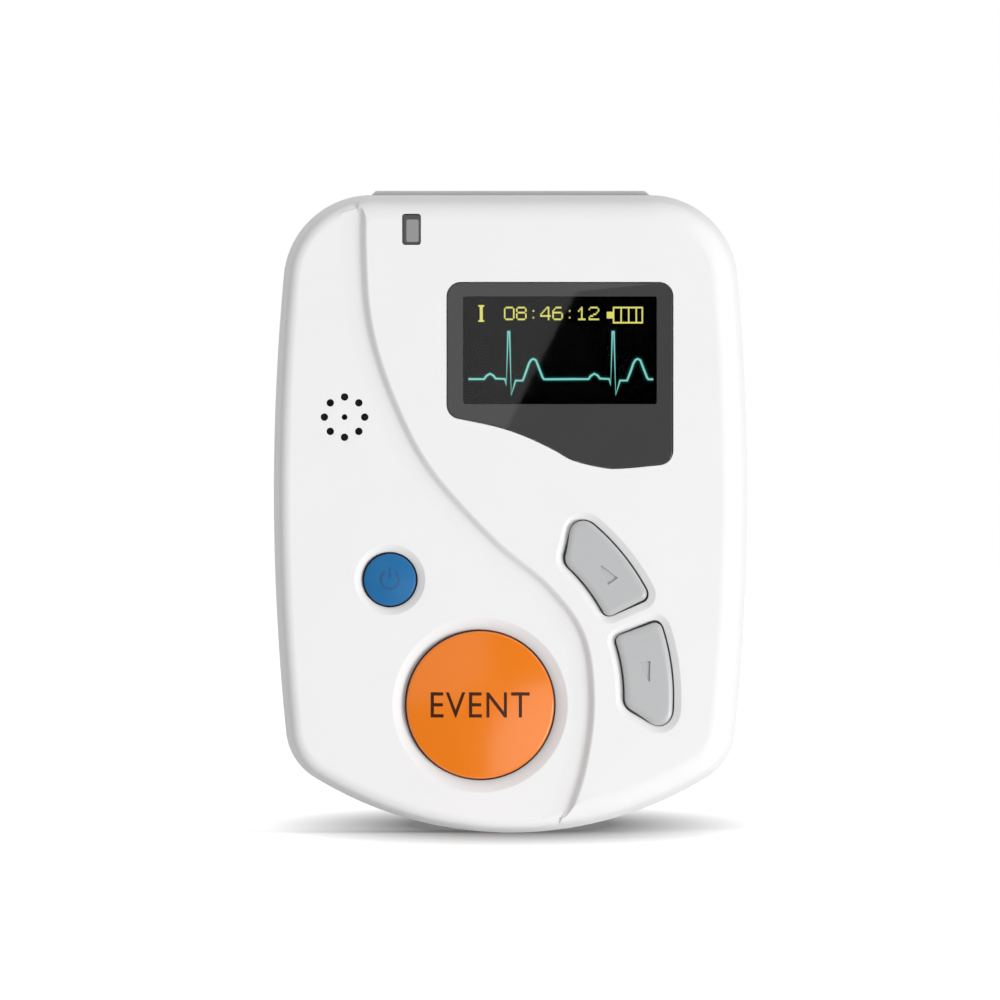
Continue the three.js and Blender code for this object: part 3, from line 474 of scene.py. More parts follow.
def ease_edges(piece: Piece, width: float, steps: int = 2, degrees: float = 35) -> None:
    """Rounds a solid's sharp edges a little."""
    limits = {"limit_method": "ANGLE", "angle_limit": math.radians(degrees)}
    apply_modifier(piece, "BEVEL", width=width * MM, segments=steps, **limits)


def ease_edges_at(piece: Piece, depth: float, width: float, steps: int = 3) -> None:
    """Rounds the edges that lie in one plane.

    Args:
        piece: The solid.
        depth: The plane's depth.
        width: The rounding's width.
        steps: Its straight pieces.
    """
    plane = behind(depth)
    pick_edges(piece, lambda a, b: abs(a.y - plane) < 1e-6 and abs(b.y - plane) < 1e-6)
    with editing(piece, "EDGE"):
        bpy.ops.mesh.bevel(offset=width * MM, segments=steps, affect="EDGES")


# Materials


def srgb(code: str) -> tuple[float, float, float, float]:
    """A hex colour as linear red, green, blue and alpha."""
    shares = [int(code[i : i + 2], 16) / 255 for i in (1, 3, 5)]
    linear = [s / 12.92 if s <= 0.04045 else ((s + 0.055) / 1.055) ** 2.4 for s in shares]
    return (*linear, 1.0)


def add_node(
    tree: Tree, kind: str, inputs: dict[str | int, object] | None = None, **settings: object
) -> bpy.types.Node:
    """Adds a node.

    Args:
        tree: The node tree.
        kind: The node's type name.
        inputs: Each input's name or number, with a value or the output that is linked to it.
        **settings: The node's own properties.

    Returns:
        The node.
    """
    made = tree.nodes.new(kind)
    for name, value in settings.items():
        setattr(made, name, value)
    for key, value in (inputs or {}).items():
        if isinstance(value, Socket):
            tree.links.new(value, made.inputs[key])
        else:
            made.inputs[key].default_value = value
    return made


MIX_SHARE, MIX_FIRST, MIX_SECOND, MIX_COLOUR = 0, 6, 7, 2


def blend_colours(tree: Tree, share: Socket, first: object, second: object) -> Socket:
    """Two colours mixed by a share."""
    inputs = {MIX_SHARE: share, MIX_FIRST: first, MIX_SECOND: second}
    return add_node(tree, "ShaderNodeMix", inputs, data_type="RGBA").outputs[MIX_COLOUR]


@dataclass(frozen=True)
class Finish:
    """A finish: its real material and process.

    The grain is a fine bump, grain and grain_height millimetres wide and high. The mottle is a slow drift, so
    many millimetres wide, between two near colours and two near roughnesses. A finish with a glow is lit from
    within: its colour is the light that it gives off.
    """

    name: str
    colour: str
    drift: str
    roughness: float
    roughness_drift: float = 0.04
    metallic: float = 0.0
    ior: float = 1.5
    grain: float = 0.25
    grain_height: float = 0.002
    mottle: float = 9.0
    coat: float = 0.0
    transmission: float = 0.0
    glow: float = 0.0

    def material(self) -> bpy.types.Material:
        """The finish's material, made once."""
        if self.name in bpy.data.materials:
            return bpy.data.materials[self.name]
        made = bpy.data.materials.new(self.name)
        made.use_nodes = True
        tree = made.node_tree
        shader = tree.nodes["Principled BSDF"]
        place = add_node(tree, "ShaderNodeTexCoord").outputs["Object"]
        colour = self.paint(tree, place)
        if self.glow:
            shader.inputs["Base Color"].default_value = srgb("#000000")
            shader.inputs["Emission Strength"].default_value = self.glow
        tree.links.new(colour, shader.inputs["Emission Color" if self.glow else "Base Color"])
        tree.links.new(self.sheen(tree, place), shader.inputs["Roughness"])
        tree.links.new(self.relief(tree, place), shader.inputs["Normal"])
        shader.inputs["Metallic"].default_value = self.metallic
        if not self.metallic:
            shader.inputs["IOR"].default_value = self.ior
        shader.inputs["Coat Weight"].default_value = self.coat
        shader.inputs["Transmission Weight"].default_value = self.transmission
        return made

    def noise(self, tree: Tree, place: Socket, width: float, detail: float = 2.0) -> Socket:
        """Noise whose lumps are so many millimetres wide."""
        inputs = {"Vector": place, "Scale": 1 / (width * MM), "Detail": detail}
        return add_node(tree, "ShaderNodeTexNoise", inputs).outputs["Fac"]

    def paint(self, tree: Tree, place: Socket) -> Socket:
        """The finish's colour."""
        return blend_colours(tree, self.noise(tree, place, self.mottle), srgb(self.colour), srgb(self.drift))

    def sheen(self, tree: Tree, place: Socket) -> Socket:
        """The finish's roughness."""
        low, high = self.roughness - self.roughness_drift, self.roughness + self.roughness_drift
        inputs = {"Value": self.noise(tree, place, self.mottle / 2), "To Min": max(low, 0), "To Max": high}
        return add_node(tree, "ShaderNodeMapRange", inputs).outputs["Result"]

    def relief(self, tree: Tree, place: Socket) -> Socket:
        """The finish's grain, as a bumped normal."""
        lumps = self.noise(tree, place, self.grain)
        inputs = {"Height": lumps, "Distance": self.grain_height * MM, "Strength": 1.0}
        return add_node(tree, "ShaderNodeBump", inputs).outputs["Normal"]


@dataclass(frozen=True)
class BandedFinish(Finish):
    """A finish with straight bands along one axis, such as a can's printed film or a brushed plate."""

    axis: int = 0
    band: str = "#8a6a3a"
    start: float = 10.0
    end: float = 40.0

    def paint(self, tree: Tree, place: Socket) -> Socket:
        """The finish's colour, with the band's colour between its start and its end."""
        plain = super().paint(tree, place)
        along = add_node(tree, "ShaderNodeSeparateXYZ", {0: place}).outputs[self.axis]
        middle, half = (self.start + self.end) / 2 * MM, (self.end - self.start) / 2 * MM
        inputs = {0: along, 1: middle, 2: half}
        inside = add_node(tree, "ShaderNodeMath", inputs, operation="COMPARE").outputs[0]
        return blend_colours(tree, inside, plain, srgb(self.band))


@dataclass(frozen=True)
class BoardFinish(Finish):
    """Solder mask over copper: the tracks under it show as a slightly lighter grid."""

    pitch: float = 1.27
    track: str = "#3f8a55"
    gap_share: float = 0.02
    strength: float = 0.35

    def paint(self, tree: Tree, place: Socket) -> Socket:
        """The mask's colour, lighter where a track runs under it."""
        plain = super().paint(tree, place)
        black, grey, white = ((level, level, level, 1) for level in (0, 0.5, 1))
        inputs = {"Vector": place, "Scale": 1 / (self.pitch * MM), "Mortar Size": self.gap_share}
        inputs |= {"Color1": black, "Color2": white, "Mortar": grey}
        bricks = add_node(tree, "ShaderNodeTexBrick", inputs).outputs["Color"]
        share = add_node(tree, "ShaderNodeMath", {0: bricks, 1: self.strength}, operation="MULTIPLY").outputs[0]
        return blend_colours(tree, share, plain, srgb(self.track))


# ABS, injection moulded in a spark-eroded tool: satin, with a grain too fine to count. It is drawn 0.25 mm wide
# to show.
WHITE_ABS = Finish("white_abs_spark_moulded", "#f1f1f1", "#eeeeef", 0.5, ior=1.33)
# The same from another tool: a hair darker and glossier.
DOOR_ABS = Finish("white_abs_door_moulded", "#eeeeee", "#ececed", 0.42, ior=1.53, grain_height=0.003)
# ABS, moulded in a polished tool: a deep wet gloss that mirrors the lamps.
ORANGE_ABS = Finish(
    "orange_abs_polished", "#ef8019", "#ee7c15", 0.16, 0.02, ior=1.53, grain_height=0.0002, grain=0.9
)
# ABS, moulded in a vapour-blasted tool: a soft satin, in blue and in grey.
BLUE_ABS = Finish("blue_abs_satin_moulded", "#286fa6", "#266ca3", 0.24, ior=1.25, grain_height=0.001)
GREY_ABS = Finish("grey_abs_satin_moulded", "#bcbdbe", "#b9babb", 0.3, ior=1.53, grain_height=0.001)
# Nylon, moulded: matt and a little uneven. Its grey is painted paler than the nylon's own, as painted light on
# the socket's strip, which lies in shade.
GREY_NYLON_PAINTED_LIGHT = Finish("grey_nylon_painted_light", "#dadada", "#d5d5d5", 0.5, ior=1.53, grain_height=0.003)
# Acrylic sheet, cut and printed behind with dark grey ink: the ink shows under a polished face.
PRINTED_ACRYLIC = Finish("acrylic_printed_behind", "#454545", "#434344", 0.015, 0.005, ior=1.49, grain_height=0)
# The clear part is coated against reflections: its two faces mirror about as much as one bare face.
CLEAR_ACRYLIC = Finish(
    "acrylic_clear_coated", "#fbfbfb", "#ffffff", 0.012, 0.004, ior=1.33, grain_height=0, transmission=1
)
# The display's glass over its black polariser, which gives back almost nothing.
DISPLAY_GLASS = Finish("display_polariser_film", "#060507", "#070608", 0.3, ior=1.05, grain_height=0.0005)
# Organic light-emitting dots, lit.
YELLOW_DOTS = Finish("lit_dots_yellow", "#e4e272", "#dedb6c", 0.5, ior=1.05, glow=1)
CYAN_DOTS = Finish("lit_dots_cyan", "#86d6cb", "#82d1c6", 0.5, ior=1.05, glow=1)
# The light that spreads round the trace inside the display's glass.
NEAR_GLOW = Finish("lit_glow_near", "#0d4a44", "#0d4a44", 0.5, ior=1.05, glow=0.9)
FAR_GLOW = Finish("lit_glow_far", "#062322", "#062322", 0.5, ior=1.05, glow=0.9)
# Smoky polycarbonate, moulded: a light pipe that is dark while its lamp is off, with a milky face. Its dark
# band round the face is also painted shade from the slot's walls, widest at the top and left.
SMOKY_PIPE_AND_SHADE = Finish("polycarbonate_smoky_painted_shade", "#4c4c4c", "#494949", 0.22, ior=1.58, grain_height=0.0005)
MILKY_FACE = Finish("polycarbonate_milky_moulded", "#929292", "#8c8c8c", 0.4, ior=1.58, grain_height=0.0005)
# Pad-printing ink: dark brown on the orange, and a deeper blue on the blue.
BROWN_INK = Finish("pad_print_ink_brown", "#3b1706", "#421b08", 0.3, ior=1.35, grain=0.12)
BLUE_INK = Finish("pad_print_ink_blue", "#1d5684", "#1b5380", 0.4, grain=0.12, grain_height=0.001)
# A dull, nearly black sleeve, drawn as moulded rubber: painted shade that stands for the shaded gap round a
# cap, so the gap reads as a dark line.
PAINTED_SHADE_SLEEVE = Finish("dark_sleeve_painted_shade", "#24140d", "#21120c", 0.7)
# Closed-cell foam, cut: black and open-pored, with no gloss.
BLACK_FOAM = Finish("foam_closed_cell", "#262626", "#1f1f1f", 0.9, grain=0.3, grain_height=0.05)
# Glass-filled plastic, moulded: black with a dull bloom.
BLACK_PLASTIC = Finish("black_plastic_moulded", "#1d1e20", "#222325", 0.5, grain_height=0.004)
# Solder mask, cured over copper on glass laminate: a green gloss.
SOLDER_MASK = BoardFinish("solder_mask_green", "#1c5836", "#1f5f3b", 0.34, grain=0.6, grain_height=0.004)
# Polyimide film: amber and shiny.
POLYIMIDE = Finish("polyimide_film_amber", "#b5762a", "#a96d25", 0.3, grain=0.4)
# Epoxy, cast with a diffuser: a warm milky lens.
MILKY_LENS = Finish("led_lens_milky", "#f2f0e4", "#ebe8d8", 0.3, grain_height=0.001)
# Spring steel, drawn and nickel plated: bright, with faint draw lines.
NICKEL = Finish(
    "nickel_plated_spring_steel", "#c9c7c0", "#bfbcb4", 0.24, 0.08, metallic=1, grain=0.15, mottle=3
)
# Brass, stamped and gold plated: a warm satin metal.
GOLD_PLATE = Finish("gold_plated_contact", "#d9b25a", "#cda650", 0.25, 0.06, metallic=1, grain=0.1, mottle=2)
# Steel, cold headed and zinc plated: a cool grey that is cloudy up close.
ZINC_STEEL = Finish("zinc_plated_steel", "#a9abad", "#9b9ea1", 0.36, 0.1, metallic=1, grain=0.12, mottle=2)
# Printed film shrunk over a steel can, with one copper-coloured band at the nub's end.
CELL_FILM = BandedFinish(
    "cell_film_lower", "#34424f", "#303d49", 0.26, grain=0.5, band="#a06a3c", start=9, end=19
)
CELL_FILM_UPPER = replace(CELL_FILM, name="cell_film_upper", start=-19, end=-9)


def finish_piece(
    piece: Piece, finish: Finish, slot: str, body: str, nodes: Sequence[str] = (), degrees: float = 30
) -> Piece:
    """Cleans, smooths and dresses a finished piece, and ties it to the frame.

    Args:
        piece: The object.
        finish: Its finish.
        slot: The record's material slot. It is not used.
        body: The body that it rides on.
        nodes: The frame nodes that it stands for.
        degrees: The sharpest edge that is shaded smooth.

    Returns:
        The piece.
    """
    merge_close(piece)
    make_active(piece)
    bpy.ops.object.shade_smooth_by_angle(angle=math.radians(degrees))
    apply_modifier(piece, "WEIGHTED_NORMAL", keep_sharp=True, weight=100)
    piece.data.materials.clear()
    piece.data.materials.append(finish.material())
    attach(piece, body)
    if nodes:
        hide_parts(*nodes)
    log.info("%s: %d faces, rides on %s", piece.name, len(piece.data.polygons), body)
    return piece


# The case


@dataclass(frozen=True)
class Case:
    """The case's outline and the planes that its pieces share."""

    width: float = 70
    height: float = 94.3
    depth: float = 25
    side_radius: float = 350
    widest: float = 50.4
    top_radius: float = 13
    foot_radius: float = 55.4
    corner_radius: float = 8.85
    wall: float = 2
    panel_wall: float = 2.6
    draft: float = 0.7
    draft_depth: float = 5.5
    rim_depth: float = 3
    high_rim: float = 3.3
    low_rim: float = 1.9
    step: float = 1.2
    lip: float = 0.7
    lip_height: float = 1.2
    clearance: float = 0.3
    seam: float = 0.16
    board: float = 7
    board_back: float = 8.6
    flange: float = 4.2
    travel: float = 0.5
    screw_radius: float = 1
    screw_edge: float = 6.4
    upper_screw_degrees: float = 20
    lower_screw_degrees: float = -60
    boss_wall: float = 1.2
    corner_steps: int = 20
    side_steps: int = 18
    foot_steps: int = 18

    @property
    def parting(self) -> float:
        """The plane where the two covers meet."""
        return self.depth / 2

    @property
    def roof(self) -> float:
        """The inside of the lower front panel."""
        return self.step + self.wall

    @property
    def rear_roof(self) -> float:
        """The inside of the back wall."""
        return self.depth - self.wall

    @cached_property
    def centres(self) -> tuple[Point, Point, Point, Point]:
        """The centres of the right-hand side, foot, top corner and lower corner arcs."""
        side = (self.width / 2 - self.side_radius, self.widest)
        foot = (0.0, self.foot_radius)
        top_z = self.height - self.top_radius
        top_reach = self.side_radius - self.top_radius
        top = (side[0] + math.sqrt(top_reach**2 - (top_z - side[1]) ** 2), top_z)
        side_reach = self.side_radius - self.corner_radius
        foot_reach = self.foot_radius - self.corner_radius
        dx, dz = foot[0] - side[0], foot[1] - side[1]
        apart = math.hypot(dx, dz)
        along = (side_reach**2 - foot_reach**2 + apart**2) / (2 * apart)
        off = math.sqrt(side_reach**2 - along**2)
        corner = (side[0] + (along * dx + off * dz) / apart, side[1] + (along * dz - off * dx) / apart)
        return side, foot, top, corner

    def outline(self, inset: float = 0) -> Outline:
        """The case's outline drawn in by an inset."""
        side, foot, top, corner = self.centres
        foot_end = math.atan2(corner[1] - foot[1], corner[0] - foot[0])
        corner_end = math.atan2(corner[1] - side[1], corner[0] - side[0])
        shoulder = math.atan2(top[1] - side[1], top[0] - side[0])
        right = [
            *arc(foot, self.foot_radius - inset, -math.pi / 2, foot_end, self.foot_steps)[:-1],
            *arc(corner, self.corner_radius - inset, foot_end, corner_end, self.corner_steps)[:-1],
            *arc(side, self.side_radius - inset, corner_end, shoulder, self.side_steps)[:-1],
            *arc(top, self.top_radius - inset, shoulder, math.pi / 2, self.corner_steps),
        ]
        return right + [(-x, z) for x, z in reversed(right[1:])]

    @property
    def screws(self) -> dict[str, Point]:
        """The places of the four case screws."""
        _, _, top, corner = self.centres
        places = {}
        for row, centre, radius, degrees in (
            ("upper", top, self.top_radius, self.upper_screw_degrees),
            ("lower", corner, self.corner_radius, self.lower_screw_degrees),
        ):
            angle, reach = math.radians(degrees), radius - self.screw_edge
            x, z = centre[0] + reach * math.cos(angle), centre[1] + reach * math.sin(angle)
            places |= {f"{row}_left": (-x, z), f"{row}_right": (x, z)}
        return places

    @property
    def bore(self) -> float:
        """The radius of the screws' bores."""
        return self.screw_radius + self.clearance

    @property
    def boss(self) -> float:
        """The outer radius of the screws' bosses."""
        return self.bore + self.boss_wall

    def place(self, across: float, up: float) -> Point:
        """A place on the front, from its shares of the case."""
        return across * self.width, up * self.height


CASE = Case()


@dataclass(frozen=True)
class Step:
    """The S-shaped step between the panels: its line from below to above, and its profile across the line."""

    line: tuple[Point, ...] = (
        (0.0728, -0.0571), (0.1171, 0.0243), (0.153, 0.1103), (0.1677, 0.2089), (0.1487, 0.3075),
        (0.077, 0.3826), (-0.0411, 0.4577), (-0.1762, 0.5704), (-0.2542, 0.6831), (-0.3006, 0.7958),
        (-0.3133, 0.9131), (-0.3112, 1.03),
    )
    start_below: float = 0.035
    fade_width: float = 1.2
    line_steps: int = 12
    slow_rise: tuple[Point, ...] = ((0.5, 1.5), (0.5, 2.5), (0.5, 3.5), (0.4, 5), (0.3, 8), (0.3, 12))
    foot: tuple[Point, ...] = ((0.2, 18), (0.18, 30), (0.16, 46))
    shoulder: tuple[Point, ...] = ((0.18, 54), (0.18, 52), (0.16, 46), (0.12, 38), (0.1, 24), (0.1, 10))

    def climbed(self, slopes: Sequence[Point]) -> list[Move]:
        """The moves up a run of (width, degrees) slopes, scaled so that all three runs sum to the step."""
        every = (*self.slow_rise, *self.foot, *self.shoulder)
        scale = CASE.step / sum(width * math.tan(math.radians(degrees)) for width, degrees in every)
        return [(width, scale * width * math.tan(math.radians(degrees))) for width, degrees in slopes]

    def side(self, aside: float) -> Outline:
        """Everything to the right of the line moved aside. Its ends run straight on, out past the case."""
        line = through([CASE.place(*share) for share in self.line], self.line_steps)
        far = 3 * CASE.width
        foot, head = (Vector(line[end]) for end in (0, -1))
        foot += (foot - Vector(line[1])).normalized() * far
        head += (head - Vector(line[-2])).normalized() * far
        curve = beside([tuple(foot), *line, tuple(head)], aside)
        return [*reversed(curve), (far, curve[0][1]), (far, curve[-1][1])]

    def sweep(self) -> Piece:
        """The slow rise of the lower panel towards the wall's foot. It fades out at the case's rim."""
        moves = self.climbed(self.slow_rise)
        foot = sum(width for width, _ in self.climbed(self.foot))
        reach, height = foot + sum(width for width, _ in moves), sum(rise for _, rise in moves)
        base = CASE.draft_depth - CASE.step
        rise = stack("sweep", self.side(-reach), CASE.draft_depth, Facing.FRONT, [(0, base), *moves])
        inset = CASE.low_rim - self.start_below
        fade = [(0, 1), (self.fade_width, height + self.start_below), (0, 1)]
        return combine(rise, How.KEEP, stack("fade", CASE.outline(inset), CASE.step + 1, Facing.FRONT, fade))

    def raised_side(self) -> Piece:
        """The solid that leaves the raised panel of a body: the steep foot and the soft shoulder."""
        foot, shoulder = self.climbed(self.foot), self.climbed(self.shoulder)
        height = sum(rise for _, rise in foot + shoulder)
        aside = sum(width for width, _ in foot)
        moves = [(0, CASE.draft_depth - height), *foot, *shoulder, (0, OVERRUN)]
        return stack("raised_side", self.side(-aside), CASE.draft_depth, Facing.FRONT, moves)


@dataclass(frozen=True)
class RoundButton:
    """A round button: a domed cap with a soft edge, in a dished moat."""

    name: str
    place: Point
    radius: float
    crown: float
    moat: float
    moat_depth: float
    finish: Finish
    slot: str
    sides: int = 96
    gap: float = 0.25
    # Half the thickness of the dark sleeve of painted shade round the cap.
    sleeve: float = 0.06
    edge: float = 0.35
    growth: float = 1.2
    dome_steps: int = 14

    def cap(self) -> Piece:
        """The cap, with the flange that keeps it behind the wall."""
        rim = CASE.step - self.crown / 3
        face = self.radius - self.edge
        flange_front = CASE.roof + CASE.clearance
        moves = [(0, CASE.flange - flange_front), (self.growth, 0), (0, flange_front - rim - self.edge)]
        moves += quarter(self.edge, self.edge, 5)
        rise = 2 * self.crown / 3
        for i in range(self.dome_steps):
            low, high = 1 - i / self.dome_steps, 1 - (i + 0.96) / self.dome_steps
            moves.append((face * (low - high), rise * (low**2 - high**2)))
        outline = circle(self.place, self.radius + self.growth, self.sides)
        return stack(f"{self.name}_cap", outline, CASE.flange, Facing.FRONT, moves)

    def moat_cut(self) -> Piece:
        """The dish round the button and the hole that it moves in."""
        outline = circle(self.place, self.radius + self.gap + self.moat, self.sides)
        return moat(outline, CASE.step, self.moat, self.moat_depth)

    def shade_sleeve(self) -> Piece:
        """A thin dark sleeve round the cap's side: painted shade that closes the gap to the eye."""
        start, end = CASE.step + self.crown / 6, CASE.step + self.moat_depth + self.gap
        inner, outer = (circle(self.place, self.radius + side * self.sleeve, self.sides) for side in (-1, 1))
        ring = prism(f"{self.name}_skirt", outer, start, end)
        return combine(ring, How.CUT, prism("inside", inner, 0, CASE.board))

    def build(self) -> Piece:
        """The dressed cap."""
        body = f"{self.name}_key"
        # The dark sleeve is painted shade in the gap round the cap.
        finish_piece(self.shade_sleeve(), PAINTED_SHADE_SLEEVE, self.slot, body)
        return finish_piece(self.cap(), self.finish, self.slot, body, [f"{self.name}_button"])


EVENT = RoundButton("event", CASE.place(-0.0639, 0.2008), 10.9, 1, 1.9, 0.9, ORANGE_ABS, "orange")
POWER = RoundButton("power", CASE.place(-0.2543, 0.3969), 3.85, 0.5, 1.2, 0.6, BLUE_ABS, "blue", sides=64)


@dataclass(frozen=True)
class ArrowKey:
    """An arrow key: a pillowed sector of a ring with an engraved triangle, in a dished moat."""

    name: str
    side: int
    triangle: tuple[Point, ...]
    ring: Point = CASE.place(-0.135, 0.2137)
    inner: float = 26.3
    outer: float = 33.4
    point_radius: float = 2.1
    corner_radius: float = 1.1
    proud: float = 0.6
    pillow: float = 0.9
    moat: float = 1.1
    moat_depth: float = 0.6
    gap: float = 0.25
    growth: float = 1.2
    ray: float = 22.95
    ray_gap: float = 3.25
    inner_span: float = 22.6
    outer_span: float = 30.4
    engraving: float = 0.36
    groove_slope: float = 0.08
    groove_radius: float = 0.12
    side_steps: int = 16

    def outline(self, growth: float = 0) -> Outline:
        """The key's outline, grown all round. It is laid out straight and then bent round the ring."""
        inner, outer = self.inner - growth, self.outer + growth
        middle = (self.inner + self.outer) / 2
        root = math.radians(self.ray_gap) * middle - growth
        inner_end = math.radians(self.ray_gap + self.inner_span) * middle + growth
        outer_end = math.radians(self.ray_gap + self.outer_span) * middle + growth
        corner, point = self.corner_radius + growth, self.point_radius + growth
        lower = [(root, inner, corner), (root, outer, corner)]
        flat = rounded([*lower, (outer_end, outer, point), (inner_end, inner, point)])
        bent: Outline = []
        for (s, r), (ns, nr) in zip(flat, flat[1:] + flat[:1]):
            steps = self.side_steps if math.hypot(ns - s, nr - r) > self.corner_radius else 1
            for k in range(steps):
                along, out = s + (ns - s) * k / steps, r + (nr - r) * k / steps
                angle = math.radians(self.ray) + self.side * along / middle
                bent.append((self.ring[0] + out * math.cos(angle), self.ring[1] + out * math.sin(angle)))
        return bent if self.side > 0 else bent[::-1]

    def moat_cut(self) -> Piece:
        """The dish round the key and the hole that it moves in."""
        return moat(self.outline(self.gap + self.moat), 0, self.moat, self.moat_depth)

    def flange_room(self) -> Piece:
        """The room behind the wall for the key's flange."""
        end = CASE.flange + CASE.travel + CASE.clearance
        return prism("room", self.outline(self.growth + CASE.clearance), CASE.panel_wall, end)

    def build(self) -> Piece:
        """The dressed key."""
        flange = prism("flange", self.outline(self.growth), CASE.panel_wall + CASE.clearance, CASE.flange)
        for place in CASE.screws.values():
            relief = circle(place, CASE.boss + CASE.clearance, 32)
            combine(flange, How.CUT, prism("relief", relief, 0, CASE.board))
        start = CASE.flange - CASE.clearance
        shoulder = self.proud / 4
        moves = [(0, start + shoulder), *quarter(self.pillow, self.proud - shoulder, 9)]
        key = stack(f"{self.name}_arrow_key", self.outline(), start, Facing.FRONT, moves)
        combine(key, How.JOIN, flange)
        groove = [(0, OVERRUN), (self.groove_slope, self.engraving)]
        corners = [(*place, self.groove_radius) for place in self.triangle]
        combine(key, How.CUT, stack("groove", rounded(corners, 3), -self.proud - OVERRUN, Facing.BACK, groove))
        return finish_piece(key, GREY_ABS, "grey_key", f"{self.name}_key", [f"{self.name}_button"])


UP = ArrowKey("up", 1, ((14.36, 36.64), (15.88, 37.7), (13.06, 39.81)))
DOWN = ArrowKey("down", -1, ((20.59, 22.05), (20.66, 25.46), (18.95, 25.23)))


@dataclass(frozen=True)
class Window:
    """The printed window plate with an S-shaped lower edge, and its clear part over the display."""

    right_margin: float = 10.95
    top_margin: float = 12.9
    width: float = 33.5
    height: float = 27.6
    radius: float = 2.15
    top_border: float = 2.15
    display_width: float = 28.6
    display_height: float = 15.9
    display_margin: float = 1.5
    recess: float = 1.4
    view_radius: float = 0.3
    fit: float = 0.12
    ease: float = 0.12
    pane_fit: float = 0.02
    front: float = 0.08
    back: float = 1.1
    left_end: float = 0.722
    right_end: float = 0.972
    lower_edge: tuple[Point, ...] = (
        (0.079, 0.74), (0.208, 0.773), (0.307, 0.81), (0.398, 0.856), (0.481, 0.906), (0.557, 0.957),
        (0.686, 0.995), (0.77, 1), (0.925, 0.983),
    )

    @property
    def left(self) -> float:
        """The plate's left side."""
        return CASE.width / 2 - self.right_margin - self.width

    @property
    def top(self) -> float:
        """The plate's upper side."""
        return CASE.height - self.top_margin

    @property
    def display(self) -> Point:
        """The middle of the display's picture."""
        return self.left + self.width / 2, self.top - self.top_border - self.display_height / 2

    def outline(self, inset: float = 0) -> Outline:
        """The plate's outline drawn in by an inset."""
        left, right, top = self.left + inset, self.left + self.width - inset, self.top - inset
        places = [(self.left + a * self.width, self.top - d * self.height + inset) for a, d in self.lower_edge]
        corners = [(x, z, 0) for x, z in through(places, 5)]
        radius = self.radius - inset
        right_foot = self.top - self.right_end * self.height + inset
        left_foot = self.top - self.left_end * self.height + inset
        sides = ((right, right_foot), (right, top), (left, top), (left, left_foot))
        return rounded([*corners, *((*place, radius) for place in sides)])

    def view(self, grow: float = 0) -> Outline:
        """The clear part that the picture shows through."""
        width, height = self.display_width + grow, self.display_height + grow
        return rounded_box(self.display, width, height, self.view_radius + grow / 2)

    def build(self) -> None:
        """The dressed plate and its clear part."""
        plate = prism("window_print", self.outline(self.fit), self.front, self.back)
        ease_edges_at(plate, self.front, self.ease)
        combine(plate, How.CUT, prism("opening", self.view(), -OVERRUN, CASE.roof))
        finish_piece(plate, PRINTED_ACRYLIC, "window", "case", ["display_window"])
        pane = prism("window_pane", self.view(-self.pane_fit), self.front, self.back - self.pane_fit)
        finish_piece(pane, CLEAR_ACRYLIC, "window", "case")


WINDOW = Window()


@dataclass(frozen=True)
class Dots:
    """The display's picture: lit dots of a 128 by 64 matrix, and the trace drawn over them."""

    across: int = 128
    up: int = 64
    front: float = 2.84
    thickness: float = 0.04
    line: float = 0.3
    glow_widths: tuple[float, float] = (0.6, 0.95)
    glow_depths: tuple[float, float] = (0.02, 0.03)
    glyphs: tuple[tuple[str, str], ...] = (
        ("0", " ##### |#     #|#     #|#     #|#     #|#     #|#     #| ##### "),
        ("1", "   #   |  ##   | # #   |   #   |   #   |   #   |   #   | ##### "),
        ("2", " ##### |#     #|      #|     # |   ##  | ##    |#      |#######"),
        ("4", "    ## |   # # |  #  # | #   # |#    # |#######|     # |     # "),
        ("6", "  #### | #     |#      |###### |#     #|#     #|#     #| ##### "),
        ("8", " ##### |#     #|#     #| ##### |#     #|#     #|#     #| ##### "),
        (":", "       |       |   #   |       |       |       |   #   |       "),
        ("I", "####| ## | ## | ## | ## | ## | ## | ## | ## |####"),
    )
    starts: tuple[Point, Point, Point] = ((477.5, 304.5), (504, 306.5), (606.5, 306))
    beats: tuple[float, float] = (508.8, 613.3)
    beat: tuple[Point, ...] = (
        (-40.4, 379.1), (-24.7, 379.1), (-22.5, 376), (-18.9, 373.7), (-15.4, 375.6), (-13.2, 378.6),
        (-3.9, 379), (-2.5, 384.9), (-0.8, 331.7), (0.8, 331.7), (2.5, 394.9), (6.8, 380.6), (13.9, 380.6),
        (16.8, 373.2), (20.3, 363.2), (22.4, 359.9), (24.6, 358.9), (27.2, 360.2), (30.3, 368.4),
        (33.9, 377.5), (35.3, 379.3), (40.1, 379.3),
    )


@dataclass(frozen=True)
class Picture:
    """Where the photograph's pixels lie on the object: its middle column, its foot row and its scale."""

    middle: float = 510.5
    foot: float = 833.5
    scale: float = 0.1476

    def place(self, column: float, row: float) -> Point:
        """A pixel's place in millimetres."""
        return (column - self.middle) * self.scale, (self.foot - row) * self.scale


PICTURE = Picture()


